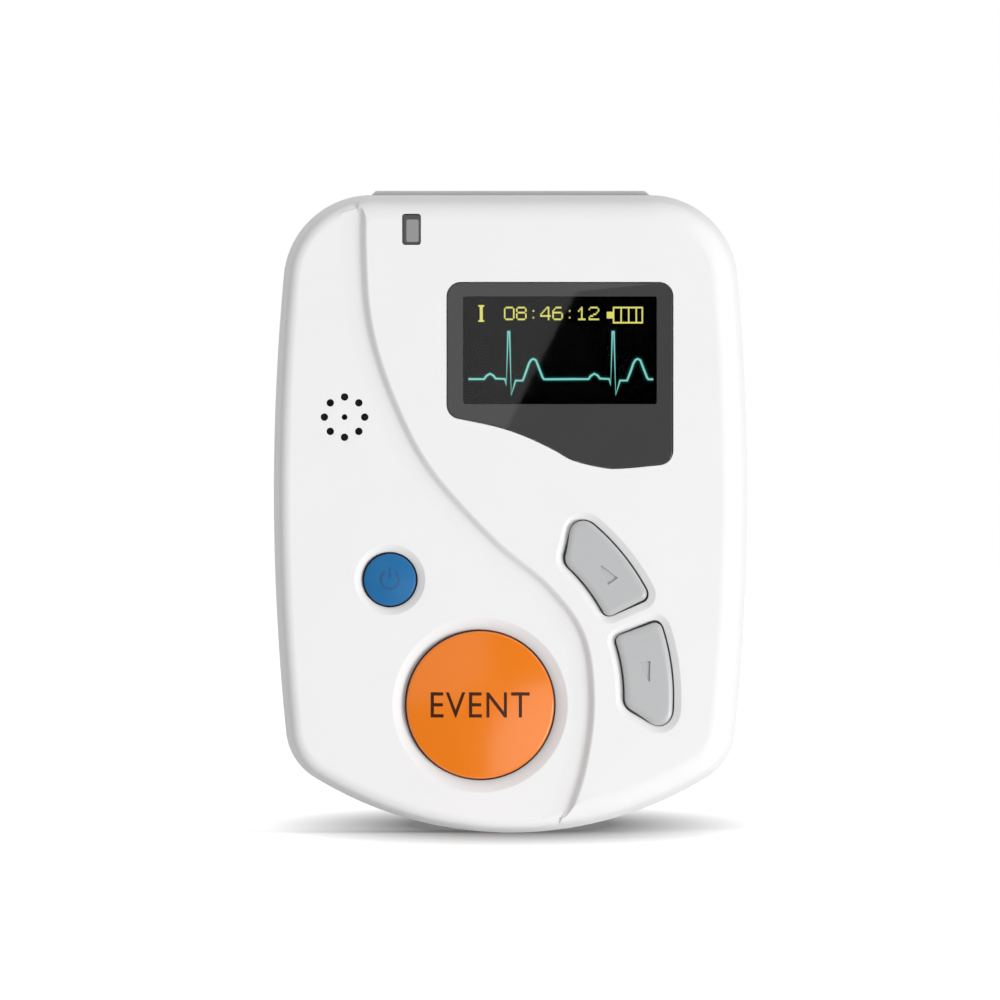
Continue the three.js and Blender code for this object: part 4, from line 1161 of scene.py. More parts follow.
class Display:
    """The lit picture behind the window."""

    def __init__(self, dots: Dots) -> None:
        """Keeps the dots' sizes and the matrix's corner."""
        self.dots = dots
        self.pitch_x = WINDOW.display_width / dots.across
        self.pitch_z = WINDOW.display_height / dots.up
        x, z = WINDOW.display
        self.left, self.top = x - WINDOW.display_width / 2, z + WINDOW.display_height / 2

    def cell(self, place: Point) -> tuple[float, float]:
        """A place's column and row in the matrix."""
        return (place[0] - self.left) / self.pitch_x, (self.top - place[1]) / self.pitch_z

    def drawn(self, rows: str, column: int, row: int) -> set[tuple[int, int]]:
        """The dots of a drawing whose rows are parted by bars, from its upper left corner."""
        marks = ((i, j, mark) for j, line in enumerate(rows.split("|")) for i, mark in enumerate(line))
        return {(column + i, row + j) for i, j, mark in marks if mark == "#"}

    def row_of_text(self, text: str, column: int, row: int, pitch: int = 8) -> set[tuple[int, int]]:
        """The dots of a row of characters."""
        glyphs = dict(self.dots.glyphs)
        return set().union(*(self.drawn(glyphs[c], column + i * pitch, row) for i, c in enumerate(text)))

    def battery(self, column: int, row: int) -> set[tuple[int, int]]:
        """The dots of the battery icon: a frame with four cells, and a nub at its left."""
        frame = {(c, r) for c in range(4, 24) for r in range(10) if r in (0, 9) or c in (4, 9, 14, 19, 23)}
        nub = {(c, r) for c in range(4) for r in range(3, 7)}
        return {(column + c, row + r) for c, r in frame | nub}

    def line(self, name: str, width: float, behind_face: float, finish: Finish) -> None:
        """The heart's trace, as a flat line.

        Args:
            name: The piece's name.
            width: The line's width.
            behind_face: How far its face lies behind the dots' faces.
            finish: Its finish.
        """
        dots = self.dots
        path = [PICTURE.place(spike + column, row) for spike in dots.beats for column, row in dots.beat]
        curve = added(name, bpy.ops.curve.primitive_nurbs_path_add).data
        curve.splines.remove(curve.splines[0])
        spline = curve.splines.new("POLY")
        spline.points.add(len(path) - 1)
        for point, (x, z) in zip(spline.points, path, strict=True):
            point.co = (x * MM, 0, z * MM, 1)
        curve.bevel_depth = width / 2 * MM
        curve.use_fill_caps = True
        bpy.ops.object.convert(target="MESH")
        piece = newest(name)
        middle = behind(dots.front + behind_face + dots.thickness / 2)
        for vertex in piece.data.vertices:
            vertex.co.y = middle + vertex.co.y * dots.thickness / width
        finish_piece(face_outwards(piece), finish, "display", "case")

    def matrix(self, name: str, lit: set[tuple[int, int]], finish: Finish) -> Piece:
        """A grid primitive of which only the lit cells are kept and raised.

        Args:
            name: The piece's name.
            lit: Its (column, row) cells.
            finish: Its finish.

        Returns:
            The piece.
        """
        dots = self.dots
        grid_add = bpy.ops.mesh.primitive_grid_add
        piece = added(name, grid_add, x_subdivisions=dots.across, y_subdivisions=dots.up, size=1)
        x, z = WINDOW.display
        back = behind(dots.front + dots.thickness)
        for vertex in piece.data.vertices:
            across, up = vertex.co.x * WINDOW.display_width, vertex.co.y * WINDOW.display_height
            vertex.co = ((x + across) * MM, back, (z + up) * MM)

        def unlit(face: bpy.types.MeshPolygon) -> bool:
            column, row = self.cell((face.center.x / MM, face.center.z / MM))
            return (math.floor(column), math.floor(row)) not in lit

        pick_faces(piece, unlit)
        with editing(piece):
            bpy.ops.mesh.delete(type="FACE")
        with editing(piece):
            bpy.ops.mesh.select_all(action="SELECT")
            bpy.ops.mesh.edge_split(type="EDGE")
            bpy.ops.mesh.select_all(action="SELECT")
            move = (0, -dots.thickness * MM, 0)
            bpy.ops.mesh.extrude_region_move(TRANSFORM_OT_translate={"value": move})
        # Known fault: finish_piece joins the points of dots that touch, which leaves edges unpaired.
        return finish_piece(face_outwards(piece), finish, "display", "case")

    def build(self) -> None:
        """The yellow row, and the cyan trace with its glow."""
        cells = (self.cell(PICTURE.place(*pixel)) for pixel in self.dots.starts)
        head, digits, icon = ((round(column), round(row)) for column, row in cells)
        lit = self.drawn(dict(self.dots.glyphs)["I"], *head) | self.row_of_text("08:46:12", *digits)
        self.matrix("clock_dots", lit | self.battery(*icon), YELLOW_DOTS)
        self.line("trace_line", self.dots.line, 0, CYAN_DOTS)
        glows = (("trace_glow", NEAR_GLOW), ("trace_far_glow", FAR_GLOW))
        for (name, finish), width, depth in zip(glows, self.dots.glow_widths, self.dots.glow_depths):
            self.line(name, width, depth, finish)


@dataclass(frozen=True)
class Sound:
    """The ring of sound holes and the hole in its middle."""

    place: Point = CASE.place(-0.3503, 0.6516)
    ring: float = 2.98
    hole: float = 0.55
    centre: float = 0.43
    count: int = 8
    ease: float = 0.08

    def cuts(self) -> Iterator[Piece]:
        """Each hole with its eased mouth."""
        spots = [(*p, self.hole) for p in circle(self.place, self.ring, self.count)]
        for x, z, radius in [*spots, (*self.place, self.centre)]:
            outline = circle((x, z), radius + self.ease, 24)
            yield mouth("hole", outline, CASE.step, Facing.BACK, self.ease, CASE.roof, steps=3)


@dataclass(frozen=True)
class Indicator:
    """The small light pipe in its slot."""

    across: float = -0.2087
    width: float = 2.75
    height: float = 4.6
    radius: float = 0.45
    fit: float = 0.13
    recess: float = 0.15
    wall_gap: float = 0.15
    flange: float = 0.8
    flange_thickness: float = 0.6
    end: float = 5.7
    ease: float = 0.15
    # How far the dark pipe shows round the milky face at left, right, top and foot: painted shade from the
    # slot, widest at the top and left.
    painted_shade_margins: tuple[float, float, float, float] = (0.55, 0.3, 0.8, 0.4)
    face_half: float = 0.15
    face_proud: float = 0.03

    @property
    def place(self) -> Point:
        """The pipe's middle, under the top wall."""
        top = CASE.height - CASE.wall - CASE.draft - self.wall_gap
        return self.across * CASE.width, top - self.height / 2

    def slot(self) -> Piece:
        """The slot's cut."""
        outline = rounded_box(self.place, self.width, self.height, self.radius)
        return prism("slot", outline, -OVERRUN, CASE.roof * 2)

    def build(self) -> None:
        """The dressed pipe with its flange."""
        width, height = self.width - 2 * self.fit, self.height - 2 * self.fit
        moves = [(0, self.end - self.recess - self.ease), *quarter(self.ease, self.ease, 3)]
        outline = rounded_box(self.place, width, height, self.radius - self.fit)
        pipe = stack("indicator_pipe", outline, self.end, Facing.FRONT, moves)
        flange = rounded_box(self.place, self.width + 2 * self.flange, self.height, self.radius)
        start = CASE.roof + CASE.clearance
        combine(pipe, How.JOIN, prism("flange", flange, start, start + self.flange_thickness))
        finish_piece(pipe, SMOKY_PIPE_AND_SHADE, "lens", "case", ["indicator_lens"])
        # The milky face leaves a dark band of painted shade round it.
        (x, z), (left, right, top, foot) = self.place, self.painted_shade_margins
        middle = (x + (left - right) / 2, z - (top - foot) / 2)
        lit = rounded_box(middle, self.width - left - right, self.height - top - foot, 0.3)
        moves = [(0, 2 * self.face_half - self.face_proud), (0.1, 2 * self.face_proud)]
        face = stack("indicator_face", lit, self.recess + 2 * self.face_half, Facing.FRONT, moves)
        finish_piece(face, MILKY_FACE, "lens", "case")


INDICATOR = Indicator()
SOUND = Sound()


@dataclass(frozen=True)
class LeadSocket:
    """The lead socket on top: a grey shroud round a black insulator with gold contacts."""

    width: float = 41.3
    thickness: float = 10
    proud: float = 0.7
    tall: float = 12
    flange: float = 1.5
    well_width: float = 36
    well_thickness: float = 7
    pitch: float = 2.77
    row_gap: float = 2.84
    contact: float = 0.65
    contact_depth: float = 3
    sleeve_fit: float = 0.02
    sleeve_wall: float = 0.2
    sleeve_sunk: float = 0.15
    counts: tuple[int, int] = (8, 7)

    @property
    def top(self) -> float:
        """The shroud's upper rim."""
        return CASE.height + self.proud

    @property
    def flange_top(self) -> float:
        """The flange's upper plane."""
        return CASE.height - CASE.wall - CASE.draft - CASE.clearance

    def gap(self) -> Piece:
        """The gap that both covers leave for it."""
        half = self.width / 2 + CASE.clearance
        depths = (CASE.board_back - CASE.clearance, CASE.board_back + self.thickness + CASE.clearance)
        outer = half + self.flange
        rows = (self.flange_top - self.flange - CASE.clearance, self.flange_top + CASE.clearance)
        gap = brick("gap", (-half, half), (self.top - self.tall, self.top + OVERRUN), depths)
        return combine(gap, How.JOIN, brick("flange_gap", (-outer, outer), rows, depths))

    def build(self) -> None:
        """The shroud, the insulator and a sleeve in each contact hole."""
        shroud = copy_of_node("socket_rim", "socket_shroud")
        ease_edges(shroud, 0.18)
        # The shroud's grey is painted paler than its own: painted light.
        finish_piece(shroud, GREY_NYLON_PAINTED_LIGHT, "grey_socket", "case", ["socket_shroud"])
        self.insulator()
        self.sleeves()

    def insulator(self) -> None:
        """The black block with its contact holes."""
        corners = ([part / MM for part in corner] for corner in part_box("socket_insulator"))
        (_, front, low), (wide, back, high) = corners
        middle, thick = (front + back) / 2 - FRONT_FACE, (back - front) / 2
        w, t = self.well_width / 2 - CASE.clearance, self.well_thickness / 2 - CASE.clearance
        body = brick("contact_block", (-w, w), (low, high), (middle - t, middle + t))
        ease_edges(body, 0.15)
        base = brick("base", (-wide, wide), (low, self.top - self.tall), (middle - thick, middle + thick))
        combine(body, How.JOIN, base)
        for x, depth in self.contacts(middle):
            bore = self.upright(x, depth, self.contact, high - self.contact_depth, high + 1)
            combine(body, How.CUT, bore)
        finish_piece(body, BLACK_PLASTIC, "black_plastic", "case", ["socket_insulator"])

    def contacts(self, middle: float) -> Iterator[Point]:
        """Each contact's (x, depth)."""
        for row, count in zip((-1, 1), self.counts):
            for i in range(count):
                yield (i - (count - 1) / 2) * self.pitch, middle + row * self.row_gap / 2

    def upright(self, x: float, depth: float, radius: float, low: float, high: float, sides: int = 16) -> Piece:
        """An upright round rod."""
        sizes = {"vertices": sides, "radius": radius * MM, "depth": (high - low) * MM}
        place = (x * MM, behind(depth), (low + high) / 2 * MM)
        rod = added("rod", bpy.ops.mesh.primitive_cylinder_add, location=place, **sizes)
        bpy.ops.object.transform_apply()
        return rod

    def sleeves(self) -> None:
        """The gold sleeves, one modelled and copied."""
        low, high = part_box("socket_insulator")
        middle = (low[1] + high[1]) / 2 / MM - FRONT_FACE
        face = high[2] / MM
        bottom, wall = face - self.contact_depth, self.sleeve_wall
        first = self.upright(0, 0, self.contact - self.sleeve_fit, bottom, face - self.sleeve_sunk)
        combine(first, How.CUT, self.upright(0, 0, self.contact - wall, bottom + wall, face + 1))
        spots = list(self.contacts(middle))
        pieces = [copy_of(first, f"sleeve_{i}", (x, depth, 0)) for i, (x, depth) in enumerate(spots)]
        bpy.data.objects.remove(first)
        bpy.ops.object.select_all(action="DESELECT")
        for piece in pieces:
            piece.select_set(True)
        bpy.context.view_layer.objects.active = pieces[0]
        bpy.ops.object.join()
        finish_piece(newest("contact_sleeves"), GOLD_PLATE, "nickel", "case")


SOCKET = LeadSocket()


class FrontCover:
    """The front shell: rims, S-step, moats, recesses and holes outside; bosses and a rebate inside."""

    core_aside: float = 2.5
    bore_start: float = 3.7
    boss_root: float = 0.3
    raised_inset: float = 0.02

    def body(self, name: str, face: float, rim: float, inset: float = 0) -> Piece:
        """A front body whose face lies at a depth.

        Args:
            name: Its name.
            face: The face's depth.
            rim: The rim's width.
            inset: How far its walls are drawn in.

        Returns:
            The solid.
        """
        moves = [(0, CASE.parting - CASE.draft_depth), (CASE.draft, CASE.draft_depth - CASE.rim_depth)]
        moves += quarter(rim, CASE.rim_depth - face, 12)
        return stack(name, CASE.outline(inset), CASE.parting, Facing.FRONT, moves)

    def cavity(self) -> Piece:
        """The room inside."""
        start = CASE.parting + OVERRUN
        moves = [(0, start - CASE.draft_depth), (CASE.draft, CASE.draft_depth - CASE.roof)]
        return stack("cavity", CASE.outline(CASE.wall), start, Facing.FRONT, moves)

    def core(self, step: Step) -> Piece:
        """The pocket that thins the raised panel from inside."""
        outline = CASE.outline(CASE.wall + CASE.high_rim)
        pocket = prism("core", outline, CASE.panel_wall, CASE.roof + CASE.clearance)
        return combine(pocket, How.KEEP, prism("side", step.side(self.core_aside), 0, CASE.draft_depth))

    def build(self) -> Piece:
        """The dressed shell."""
        step = Step()
        shell = self.body("front_shell", CASE.step, CASE.low_rim)
        raised = combine(self.body("raised", 0, CASE.high_rim, self.raised_inset), How.KEEP, step.raised_side())
        combine(shell, How.JOIN, step.sweep(), raised)
        ease_edges_at(shell, CASE.parting, CASE.seam)
        rebate_outline = CASE.outline(CASE.wall - CASE.lip - CASE.clearance)
        rebate = prism("rebate", rebate_outline, CASE.parting - CASE.lip_height - CASE.clearance, CASE.depth)
        combine(shell, How.CUT, self.cavity(), self.core(step), UP.flange_room(), DOWN.flange_room(), rebate)
        for place in CASE.screws.values():
            boss = prism("boss", circle(place, CASE.boss, 32), CASE.roof - self.boss_root, CASE.board)
            combine(shell, How.JOIN, boss)
            combine(shell, How.CUT, prism("bore", circle(place, CASE.bore, 24), self.bore_start, CASE.depth))
        combine(shell, How.CUT, EVENT.moat_cut(), POWER.moat_cut(), UP.moat_cut(), DOWN.moat_cut())
        combine(shell, How.CUT, prism("recess", WINDOW.outline(), -OVERRUN, WINDOW.recess))
        combine(shell, How.CUT, prism("view", WINDOW.view(WINDOW.display_margin), 0, CASE.roof + OVERRUN))
        combine(shell, How.CUT, INDICATOR.slot(), *SOUND.cuts(), SOCKET.gap())
        return finish_piece(shell, WHITE_ABS, "white_case", "case", ["front_cover"], degrees=32)


@dataclass(frozen=True)
class Bay:
    """The battery bay with its door, tongues and latch."""

    bottom: float = 23
    width: float = 51
    height: float = 23.2
    floor: float = 12.5
    wall: float = 1.2
    radius: float = 1.2
    door: float = 1.6
    tongue_place: float = 15
    tongue_width: float = 6
    tongue_reach: float = 2.5
    tongue: float = 1
    tongue_root: float = 0.9
    slot_depth: float = 4.8
    latch_width: float = 10
    latch_height: float = 1.6
    latch: float = 1.5
    grip_width: float = 12
    grip_pitch: float = 1.6
    groove: float = 0.8
    groove_depth: float = 0.3
    groove_ease: float = 0.2
    ease: float = 0.3
    grip_count: int = 4

    @property
    def place(self) -> Point:
        """The bay's middle."""
        return 0, self.bottom + self.height / 2

    def build_door(self) -> Piece:
        """The dressed door: a plate with grip grooves, two tongues and a latch finger."""
        gap = CASE.clearance
        outline = rounded_box(self.place, self.width - 2 * gap, self.height - 2 * gap, self.radius)
        inner = CASE.depth - self.door
        moves = [(0, self.door - self.ease), *quarter(self.ease, self.ease, 4)]
        door = stack("bay_door", outline, inner, Facing.BACK, moves)
        foot, head = self.bottom + gap, self.bottom + self.height - gap
        back = CASE.rear_roof - gap
        for side in (-1, 1):
            middle, half = side * self.tongue_place, self.tongue_width / 2
            across = (middle - half, middle + half)
            rows = (foot - self.tongue_reach, foot + self.tongue_root)
            tongue = brick("tongue", across, rows, (back - self.tongue, back))
            ease_edges(tongue, 0.15)
            root_rows = (foot + gap, foot + self.tongue_root)
            root = brick("root", across, root_rows, (back - self.tongue, CASE.depth - self.ease - 0.05))
            combine(door, How.JOIN, tongue, root)
        half = self.latch_width / 2
        depths = (inner - self.latch, inner + self.ease)
        finger = brick("latch", (-half, half), (head - self.latch_height, head), depths)
        combine(door, How.JOIN, finger)
        for i in range(1, self.grip_count + 1):
            z = head - i * self.grip_pitch - self.groove / 2
            slot = rounded_box((0, z), self.grip_width, self.groove, self.groove / 2 - 0.01)
            moves = [(0, OVERRUN), *quarter(self.groove_ease, self.groove_depth, 4)]
            combine(door, How.CUT, stack("grip", slot, CASE.depth + OVERRUN, Facing.FRONT, moves))
        return finish_piece(door, DOOR_ABS, "white_case", "door", ["battery_door"])


BAY = Bay()


class RearCover:
    """The rear shell: rounded back, battery bay, screw posts and counterbores, and a lip."""

    head_radius: float = 1.9
    seat: float = 20
    ease: float = 0.25

    def build(self) -> Piece:
        """The dressed shell."""
        moves = [(0, CASE.parting - CASE.draft_depth), (CASE.draft, CASE.draft_depth - CASE.rim_depth)]
        moves += quarter(CASE.high_rim, CASE.rim_depth, 12)
        shell = stack("rear_shell", CASE.outline(), CASE.parting, Facing.BACK, moves)
        ease_edges_at(shell, CASE.parting, CASE.seam)
        lip_front, lip_back = CASE.parting - CASE.lip_height, CASE.parting + CASE.lip_height
        combine(shell, How.JOIN, prism("lip", CASE.outline(CASE.wall - CASE.lip), lip_front, lip_back))
        start = CASE.parting - OVERRUN
        moves = [(0, CASE.depth - CASE.draft_depth - start), (CASE.draft, CASE.draft_depth - CASE.wall)]
        combine(shell, How.CUT, stack("cavity", CASE.outline(CASE.wall), start, Facing.BACK, moves))
        hold = CASE.rear_roof + CASE.clearance
        walls = 2 * BAY.wall
        outer = rounded_box(BAY.place, BAY.width + walls, BAY.height + walls, BAY.radius + BAY.wall)
        combine(shell, How.JOIN, prism("bay", outer, BAY.floor - BAY.wall, hold))
        for place in CASE.screws.values():
            combine(shell, How.JOIN, prism("post", circle(place, CASE.boss, 32), CASE.board_back, hold))
        combine(shell, How.CUT, *self.openings())
        return finish_piece(shell, WHITE_ABS, "white_case", "case", ["rear_cover"], degrees=32)

    def openings(self) -> Iterator[Piece]:
        """The bay's hollow, its tongue slots, the screws' bores and counterbores, and the socket's gap."""
        ease = self.ease
        edge = rounded_box(BAY.place, BAY.width + 2 * ease, BAY.height + 2 * ease, BAY.radius + ease)
        yield mouth("hollow", edge, CASE.depth, Facing.FRONT, ease, CASE.depth - ease - BAY.floor)
        gap = CASE.clearance
        for side in (-1, 1):
            middle, half = side * BAY.tongue_place, BAY.tongue_width / 2 + gap
            rows = (BAY.bottom - BAY.wall - gap, BAY.bottom + gap)
            depths = (CASE.depth - BAY.slot_depth, CASE.rear_roof)
            yield brick("slot", (middle - half, middle + half), rows, depths)
        for place in CASE.screws.values():
            yield prism("bore", circle(place, CASE.bore, 24), CASE.board, CASE.depth)
            head = circle(place, self.head_radius + gap + ease, 40)
            yield mouth("counterbore", head, CASE.depth, Facing.FRONT, ease, CASE.depth - ease - self.seat)
        yield SOCKET.gap()


class Screws:
    """The four pan-head case screws."""

    head: float = 1.6
    crown: float = 0.45
    crown_width: float = 1.1
    shank: float = 1
    tip: float = 4.6
    point: float = 0.8
    overlap: float = 0.2
    drive: Point = (1.15, 0.25)
    drive_depth: float = 0.8

    def build(self) -> None:
        """Each screw: its head with a cross drive, and its shank with a pointed end."""
        seat, radius = RearCover.seat, RearCover.head_radius
        head_moves = [(0, self.head * (1 - self.crown)), *quarter(self.crown_width, self.head * self.crown, 6)]
        shank_moves = [(0, seat - self.tip), (self.shank / 2, self.point)]
        long, short = self.drive
        for name, (x, z) in CASE.screws.items():
            piece = stack(f"screw_{name}", circle((x, z), radius, 48), seat, Facing.BACK, head_moves)
            for half_x, half_z in ((long, short), (short, long)):
                across, rows = (x - half_x, x + half_x), (z - half_z, z + half_z)
                depths = (seat + self.head - self.drive_depth, CASE.depth)
                combine(piece, How.CUT, brick("drive", across, rows, depths))
            start = seat + self.overlap
            shank = stack("shank", circle((x, z), self.shank, 32), start, Facing.FRONT, shank_moves)
            combine(piece, How.JOIN, shank)
            finish_piece(piece, ZINC_STEEL, "steel", "case", [f"case_screw_{name}"])


class Legends:
    """The printed word on the marker button and the printed sign on the power button."""

    text: str = "EVENT"
    height: float = 3.75
    width: float = 14.6
    depth: float = 3
    spacing: float = 1.08
    radius: float = 1.35
    line: float = 0.3
    gap_degrees: float = 34
    bar_place: float = 0.75
    bar_length: float = 1.3
    thickness: float = 0.2

    def build(self) -> None:
        """Both legends."""
        self.word(EVENT)
        self.sign(POWER)

    def word(self, button: RoundButton) -> None:
        """A thin word whose face follows the dome, a hair proud of it."""
        curve = added("event_legend", bpy.ops.object.text_add).data
        curve.body = self.text
        curve.align_x, curve.align_y = "CENTER", "CENTER"
        curve.extrude = 0.5
        curve.space_character = self.spacing
        bpy.ops.object.convert(target="MESH")
        letters = newest("event_legend")
        low = Vector([min(v.co[i] for v in letters.data.vertices) for i in range(3)])
        high = Vector([max(v.co[i] for v in letters.data.vertices) for i in range(3)])
        middle, size = (low + high) / 2, high - low
        for vertex in letters.data.vertices:
            x, y, z = vertex.co - middle
            across = button.place[0] + x / size.x * self.width
            up = button.place[1] + y / size.y * self.height
            vertex.co = (across * MM, behind(CASE.step - z / size.z * self.depth), up * MM)
        merge_close(letters)
        face_outwards(letters)
        combine(letters, How.KEEP, self.skin(button, 0.03), solver=Solver.PATIENT)
        finish_piece(letters, BROWN_INK, "orange", f"{button.name}_key")

    def skin(self, button: RoundButton, proud: float) -> Piece:
        """A layer that follows the button's dome from just under its face to just proud of it."""
        layer = button.cap()
        layer.data.transform(Matrix.Translation((0, -proud * MM, 0)))
        under = button.cap()
        under.data.transform(Matrix.Translation((0, self.thickness * MM, 0)))
        return combine(layer, How.CUT, under)

    def sign(self, button: RoundButton) -> None:
        """An open ring with a bar in its gap, a hair proud of the cap."""
        gap, radius, half = math.radians(self.gap_degrees), self.radius, self.line / 2
        start, end = math.pi / 2 + gap, math.pi / 2 - gap + math.tau
        ring = arc(button.place, radius + half, start, end, 40)
        ring += arc(button.place, radius - half, end, start, 40)
        sign = prism("power_sign", ring, -OVERRUN, CASE.step)
        x, z = button.place
        bar = rounded_box((x, z + radius * self.bar_place), self.line, radius * self.bar_length, half * 0.95)
        combine(sign, How.JOIN, prism("bar", bar, -OVERRUN, CASE.step))
        combine(sign, How.KEEP, self.skin(button, 0.02))
        finish_piece(sign, BLUE_INK, "blue", f"{button.name}_key")


class Batteries:
    """The two cells and their contacts in the bay."""

    radius: float = 5.25
    length: float = 44.5
    nub_height: float = 1.0
    film: float = 0.35
    can_sunk: float = 0.15
    film_end: tuple[Move, ...] = ((0.5, 0), (0.12, -0.25))
    can_end: tuple[Move, ...] = ((0.3, 0.1), (1.9, 0), (0.25, -0.15), (0.45, 0.15), (0.15, 0.9), (0.25, 0.1))

    def build(self) -> None:
        """The cells, their nubs and the contacts."""
        self.cell("lower", 1, CELL_FILM)
        self.cell("upper", -1, CELL_FILM_UPPER)
        for node_name in ("battery_bridge", "battery_spring", "battery_plate"):
            dress(node_name, NICKEL)

    def cell(self, row: str, side: int, finish: Finish) -> None:
        """A film-wrapped can and its bare steel ends.

        Args:
            row: Which of the two cells.
            side: 1 when its nub is to the right, or -1.
            finish: The film's finish.
        """
        low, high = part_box(f"battery_cell_{row}")
        start = (low[0] if side > 0 else high[0], (low[1] + high[1]) / 2, (low[2] + high[2]) / 2)
        body = self.length - self.nub_height
        film_moves = [(0, body - 0.6), *quarter(self.film, 0.3, 4), *self.film_end]
        film = stack(f"cell_film_{row}", circle((0, 0), self.radius, 64), 0, Facing.BACK, film_moves)
        can_moves = [(0, body - 0.3), *self.can_end]
        steel = circle((0, 0), self.radius - self.film, 48)
        can = stack(f"cell_can_{row}", steel, self.can_sunk, Facing.BACK, can_moves)
        turn = Matrix.Rotation(math.radians(-90 * side), 4, "Z")
        for piece in (film, can):
            piece.data.transform(Matrix.Translation((0, -behind(0), 0)))
            piece.data.transform(Matrix.Translation(start) @ turn)
        finish_piece(film, finish, "cell", "case", [f"battery_cell_{row}"])
        finish_piece(can, ZINC_STEEL, "steel", "case")


def dress(node_name: str, finish: Finish) -> None:
    """Gives a carried-over frame node a finish."""
    piece = frame["nodes"][node_name]
    piece.data.materials.clear()
    piece.data.materials.append(finish.material())
    log.info("%s: frame node in %s", node_name, finish.name)


NODE_FINISHES: dict[str, Finish] = {
    "window_gasket": BLACK_FOAM,
    "display_panel": DISPLAY_GLASS,
    "display_carrier": BLACK_PLASTIC,
    "display_flex": POLYIMIDE,
    "indicator_led": MILKY_LENS,
    "buzzer": BLACK_PLASTIC,
    "main_board": SOLDER_MASK,
    "processor_chip": BLACK_PLASTIC,
    "memory_chip": BLACK_PLASTIC,
    "clock_crystal": NICKEL,
    "amplifier_chip": BLACK_PLASTIC,
}
SWITCHES = ("event", "power", "up", "down")


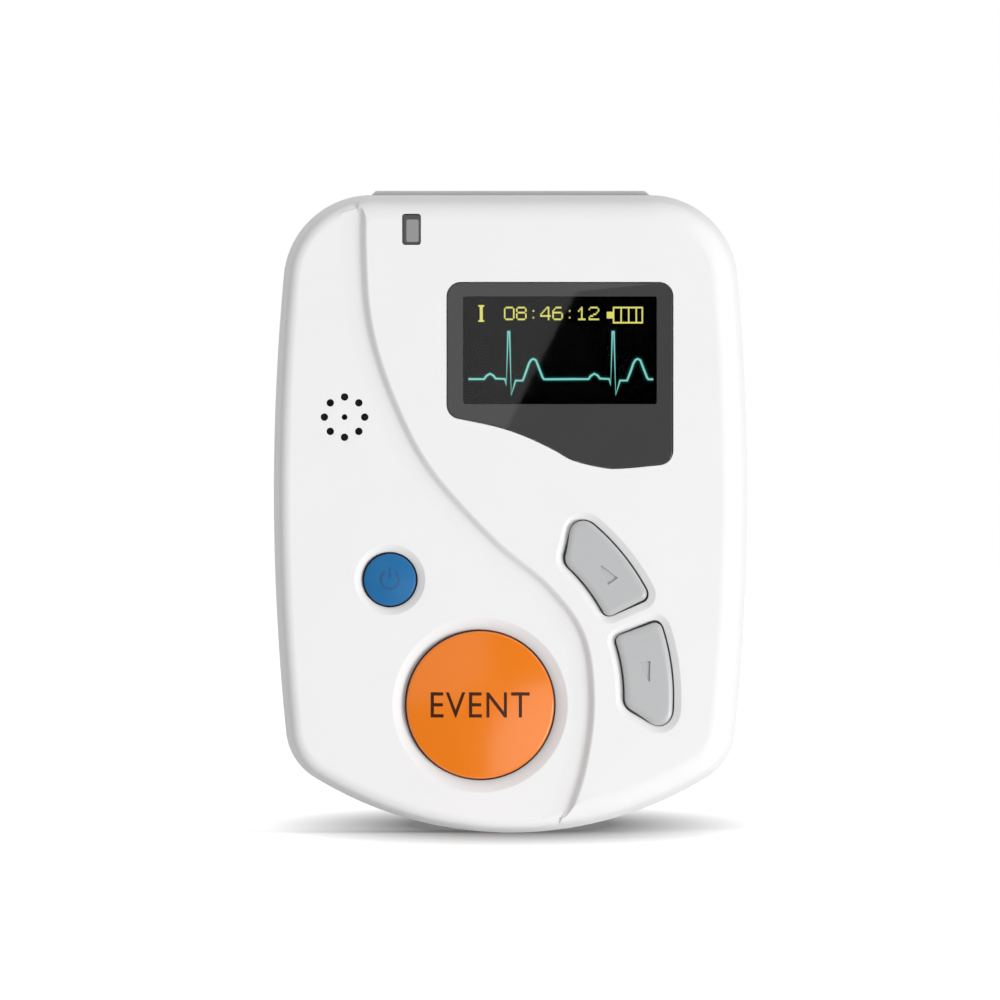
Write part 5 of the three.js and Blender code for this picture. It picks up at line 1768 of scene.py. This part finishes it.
@dataclass(frozen=True)
class Studio:
    """The camera, the white floor with its painted shadow, and the plain soft light."""

    camera_x: float = -1.55
    camera_z: float = 49.2
    distance: float = 2400
    sensor: float = 36
    frame_width: float = 147.6
    ambient: float = 0.43
    lift: float = 0.7
    lean: float = 0.3
    dark_degrees: float = 20
    clear_degrees: float = 35
    key_strength: float = 0.68
    key_degrees: float = 42
    key_rise: float = -12
    key_distance: float = 2.4
    key_size: float = 1.0
    floor_size: float = 12
    floor_colour: float = 0.85
    floor_seen: float = 1.8
    floor_glow: float = 0.5
    # The painted shadow on the floor: a soft dark oval round the case, with its middle, half widths, core and
    # darkest level.
    shade_middle: float = 55
    shade_across: float = 37.5
    shade_along: float = 162
    shade_core: float = 0.4
    shade_level: float = 0.2
    card_distance: float = 1200

    def build(self) -> None:
        """The whole studio."""
        self.camera()
        self.world()
        self.key()
        self.floor()
        self.cards()
        bpy.context.scene.view_settings.view_transform = "Standard"

    def camera(self) -> None:
        """A long lens square to the front."""
        data = bpy.data.cameras.new("camera")
        data.sensor_width = self.sensor
        data.lens = self.sensor * self.distance / self.frame_width
        camera = bpy.data.objects.new("camera", data)
        camera.location = (self.camera_x * MM, behind(-self.distance), self.camera_z * MM)
        camera.rotation_euler = (math.pi / 2, 0, 0)
        bpy.context.scene.collection.objects.link(camera)
        bpy.context.scene.camera = camera

    def seen(self, tree: Tree) -> Socket:
        """1 for a ray from the camera, a mirror or a clear piece, and 0 for the light on a surface."""
        path = add_node(tree, "ShaderNodeLightPath").outputs
        first = add_node(tree, "ShaderNodeMath", {0: path[0], 1: path["Is Glossy Ray"]}, operation="MAXIMUM")
        inputs = {0: first.outputs[0], 1: path["Is Transmission Ray"]}
        return add_node(tree, "ShaderNodeMath", inputs, operation="MAXIMUM").outputs[0]

    def world(self) -> None:
        """White where it is seen, and soft all round. It is dark right behind the camera, as a studio is."""
        world = bpy.data.worlds.new("studio")
        world.use_nodes = True
        bpy.context.scene.world = world
        tree = world.node_tree
        direction = add_node(tree, "ShaderNodeTexCoord").outputs["Generated"]
        inputs = {0: direction, 1: (0, -1, 0)}
        towards = add_node(tree, "ShaderNodeVectorMath", inputs, operation="DOT_PRODUCT").outputs["Value"]
        clear, dark = (math.cos(math.radians(d)) for d in (self.clear_degrees, self.dark_degrees))
        inputs = {"Value": towards, "From Min": clear, "From Max": dark, "To Min": 1.0, "To Max": 0.0}
        opened = add_node(tree, "ShaderNodeMapRange", inputs, interpolation_type="SMOOTHSTEP").outputs["Result"]
        path = add_node(tree, "ShaderNodeLightPath").outputs
        inputs = {0: path["Is Glossy Ray"], 1: path["Is Transmission Ray"]}
        mirrored = add_node(tree, "ShaderNodeMath", inputs, operation="MAXIMUM").outputs[0]
        inputs = {0: direction, 1: (self.ambient * self.lean, 0, self.ambient * self.lift)}
        sloped = add_node(tree, "ShaderNodeVectorMath", inputs, operation="DOT_PRODUCT").outputs["Value"]
        around = add_node(tree, "ShaderNodeMath", {0: sloped, 1: self.ambient}, operation="ADD").outputs[0]
        level = add_node(tree, "ShaderNodeMix", {0: mirrored, 2: around, 3: opened}).outputs[0]
        inputs = {0: level, 1: path["Is Camera Ray"]}
        strength = add_node(tree, "ShaderNodeMath", inputs, operation="MAXIMUM").outputs[0]
        background = tree.nodes["Background"]
        background.inputs["Color"].default_value = srgb("#ffffff")
        tree.links.new(strength, background.inputs["Strength"])

    def key(self) -> None:
        """The soft box at the right."""
        data = bpy.data.lights.new("key", "AREA")
        data.size = self.key_size
        data.energy = self.key_strength * (math.pi * self.key_distance) ** 2
        light = bpy.data.objects.new("key", data)
        turn, rise = math.radians(self.key_degrees), math.radians(self.key_rise)
        away = Vector((math.sin(turn) * math.cos(rise), -math.cos(turn) * math.cos(rise), math.sin(rise)))
        light.location = Vector((0, 0, CASE.height / 2 * MM)) + away * self.key_distance
        light.rotation_euler = away.to_track_quat("Z", "Y").to_euler()
        bpy.context.scene.collection.objects.link(light)

    def floor(self) -> None:
        """A white floor: half paper that keeps the real shadow and half white glow, and both halves carry a
        painted shadow. The low key light passes it.

        A soft oval on the paper deepens the shadow round the case, as it is in the picture.
        """
        floor = added("floor", bpy.ops.mesh.primitive_plane_add, size=self.floor_size)
        floor.visible_shadow = False
        floor.visible_glossy = False
        made = bpy.data.materials.new("floor_white_paper_painted_shadow")
        made.use_nodes = True
        tree = made.node_tree
        tree.nodes.remove(tree.nodes["Principled BSDF"])
        place = add_node(tree, "ShaderNodeTexCoord").outputs["Object"]
        inputs = {0: place, 1: (0, self.shade_middle * MM, 0)}
        aside = add_node(tree, "ShaderNodeVectorMath", inputs, operation="SUBTRACT").outputs[0]
        inputs = {0: aside, 1: (self.shade_across * MM, self.shade_along * MM, 1)}
        shares = add_node(tree, "ShaderNodeVectorMath", inputs, operation="DIVIDE").outputs[0]
        away = add_node(tree, "ShaderNodeVectorMath", {0: shares}, operation="LENGTH").outputs["Value"]
        # The painted shadow: darkest inside the oval's core, fading to none at its edge.
        inputs = {"Value": away, "From Min": self.shade_core, "To Min": self.shade_level, "To Max": 1.0}
        shade = add_node(tree, "ShaderNodeMapRange", inputs).outputs["Result"]
        seen = self.seen(tree)
        inputs = {0: shade, 1: self.floor_seen}
        shown = add_node(tree, "ShaderNodeMath", inputs, operation="MULTIPLY").outputs[0]
        level = add_node(tree, "ShaderNodeMix", {0: seen, 2: self.floor_colour, 3: shown}).outputs[0]
        paper = add_node(tree, "ShaderNodeBsdfDiffuse", {"Color": level}).outputs[0]
        # The white glow carries the painted shadow too.
        white = add_node(tree, "ShaderNodeEmission", {"Color": shade}).outputs[0]
        share = add_node(tree, "ShaderNodeMath", {0: seen, 1: self.floor_glow}, operation="MULTIPLY").outputs[0]
        mixed = add_node(tree, "ShaderNodeMixShader", {0: share, 1: paper, 2: white}).outputs[0]
        tree.links.new(mixed, tree.nodes["Material Output"].inputs["Surface"])
        floor.data.materials.append(made)

    def mirrored(self, column: float, row: float, dome: RoundButton | None = None) -> Point:
        """The place on the cards' plane that a pixel of the front, or of a button's dome, mirrors."""
        x, z = PICTURE.place(column, row)
        bend = 0.0 if dome is None else 8 * dome.crown / 3 / (dome.radius - dome.edge) ** 2
        centre = (x, z) if dome is None else dome.place
        reach = self.card_distance
        return (
            x + reach * ((x - self.camera_x) / self.distance + bend * (x - centre[0])),
            z + reach * ((z - self.camera_z) / self.distance + bend * (z - centre[1])),
        )

    def cards(self) -> None:
        """The cards that the window and the marker button mirror, each laid out by what it covers there.

        The black one stands behind the window's white one, and keeps the button's cards out of the window.
        """
        glare = [(380, 150), (380, 470), (485.5, 470), (648.9, 150)]
        self.card([self.mirrored(*pixel) for pixel in glare], 0, 0.8)
        dark = [(350, 120), (350, 520), (800, 520), (800, 120)]
        self.card([self.mirrored(*pixel) for pixel in dark], 5, 0)
        left = [(385, 702), (385, 610), (488, 610), (490, 660), (498, 690), (440, 704)]
        self.card([self.mirrored(*pixel, EVENT) for pixel in left], 10, 0.8)
        right = [(491, 800), (491, 735), (500, 708), (522, 690), (565, 676), (580, 676), (580, 800)]
        self.card([self.mirrored(*pixel, EVENT) for pixel in right], 20, 2.2)

    def card(self, corners: Outline, behind_others: float, glow: float) -> None:
        """One card, which only mirrors show."""
        card = face_of("card", corners, -self.card_distance - behind_others, Facing.BACK)
        made = bpy.data.materials.new("card_paper")
        made.use_nodes = True
        tree = made.node_tree
        tree.nodes.remove(tree.nodes["Principled BSDF"])
        lit = add_node(tree, "ShaderNodeEmission", {"Strength": glow})
        tree.links.new(lit.outputs[0], tree.nodes["Material Output"].inputs["Surface"])
        card.data.materials.append(made)
        card.visible_camera = False
        card.visible_diffuse = False
        card.visible_shadow = False


def main() -> None:
    """Builds the recorder piece by piece, then the studio."""
    logging.basicConfig(level=logging.INFO, format="%(name)s: %(message)s")
    FrontCover().build()
    RearCover().build()
    BAY.build_door()
    outside = (EVENT, POWER, UP, DOWN, WINDOW, INDICATOR, SOCKET)
    for part in (*outside, Display(Dots()), Legends(), Screws(), Batteries()):
        part.build()
    for node_name, finish in NODE_FINISHES.items():
        dress(node_name, finish)
    for key in SWITCHES:
        dress(f"{key}_switch", BLACK_PLASTIC)
        dress(f"{key}_plunger", BLACK_PLASTIC)
    Studio().build()


if __name__ == "__main__":
    main()
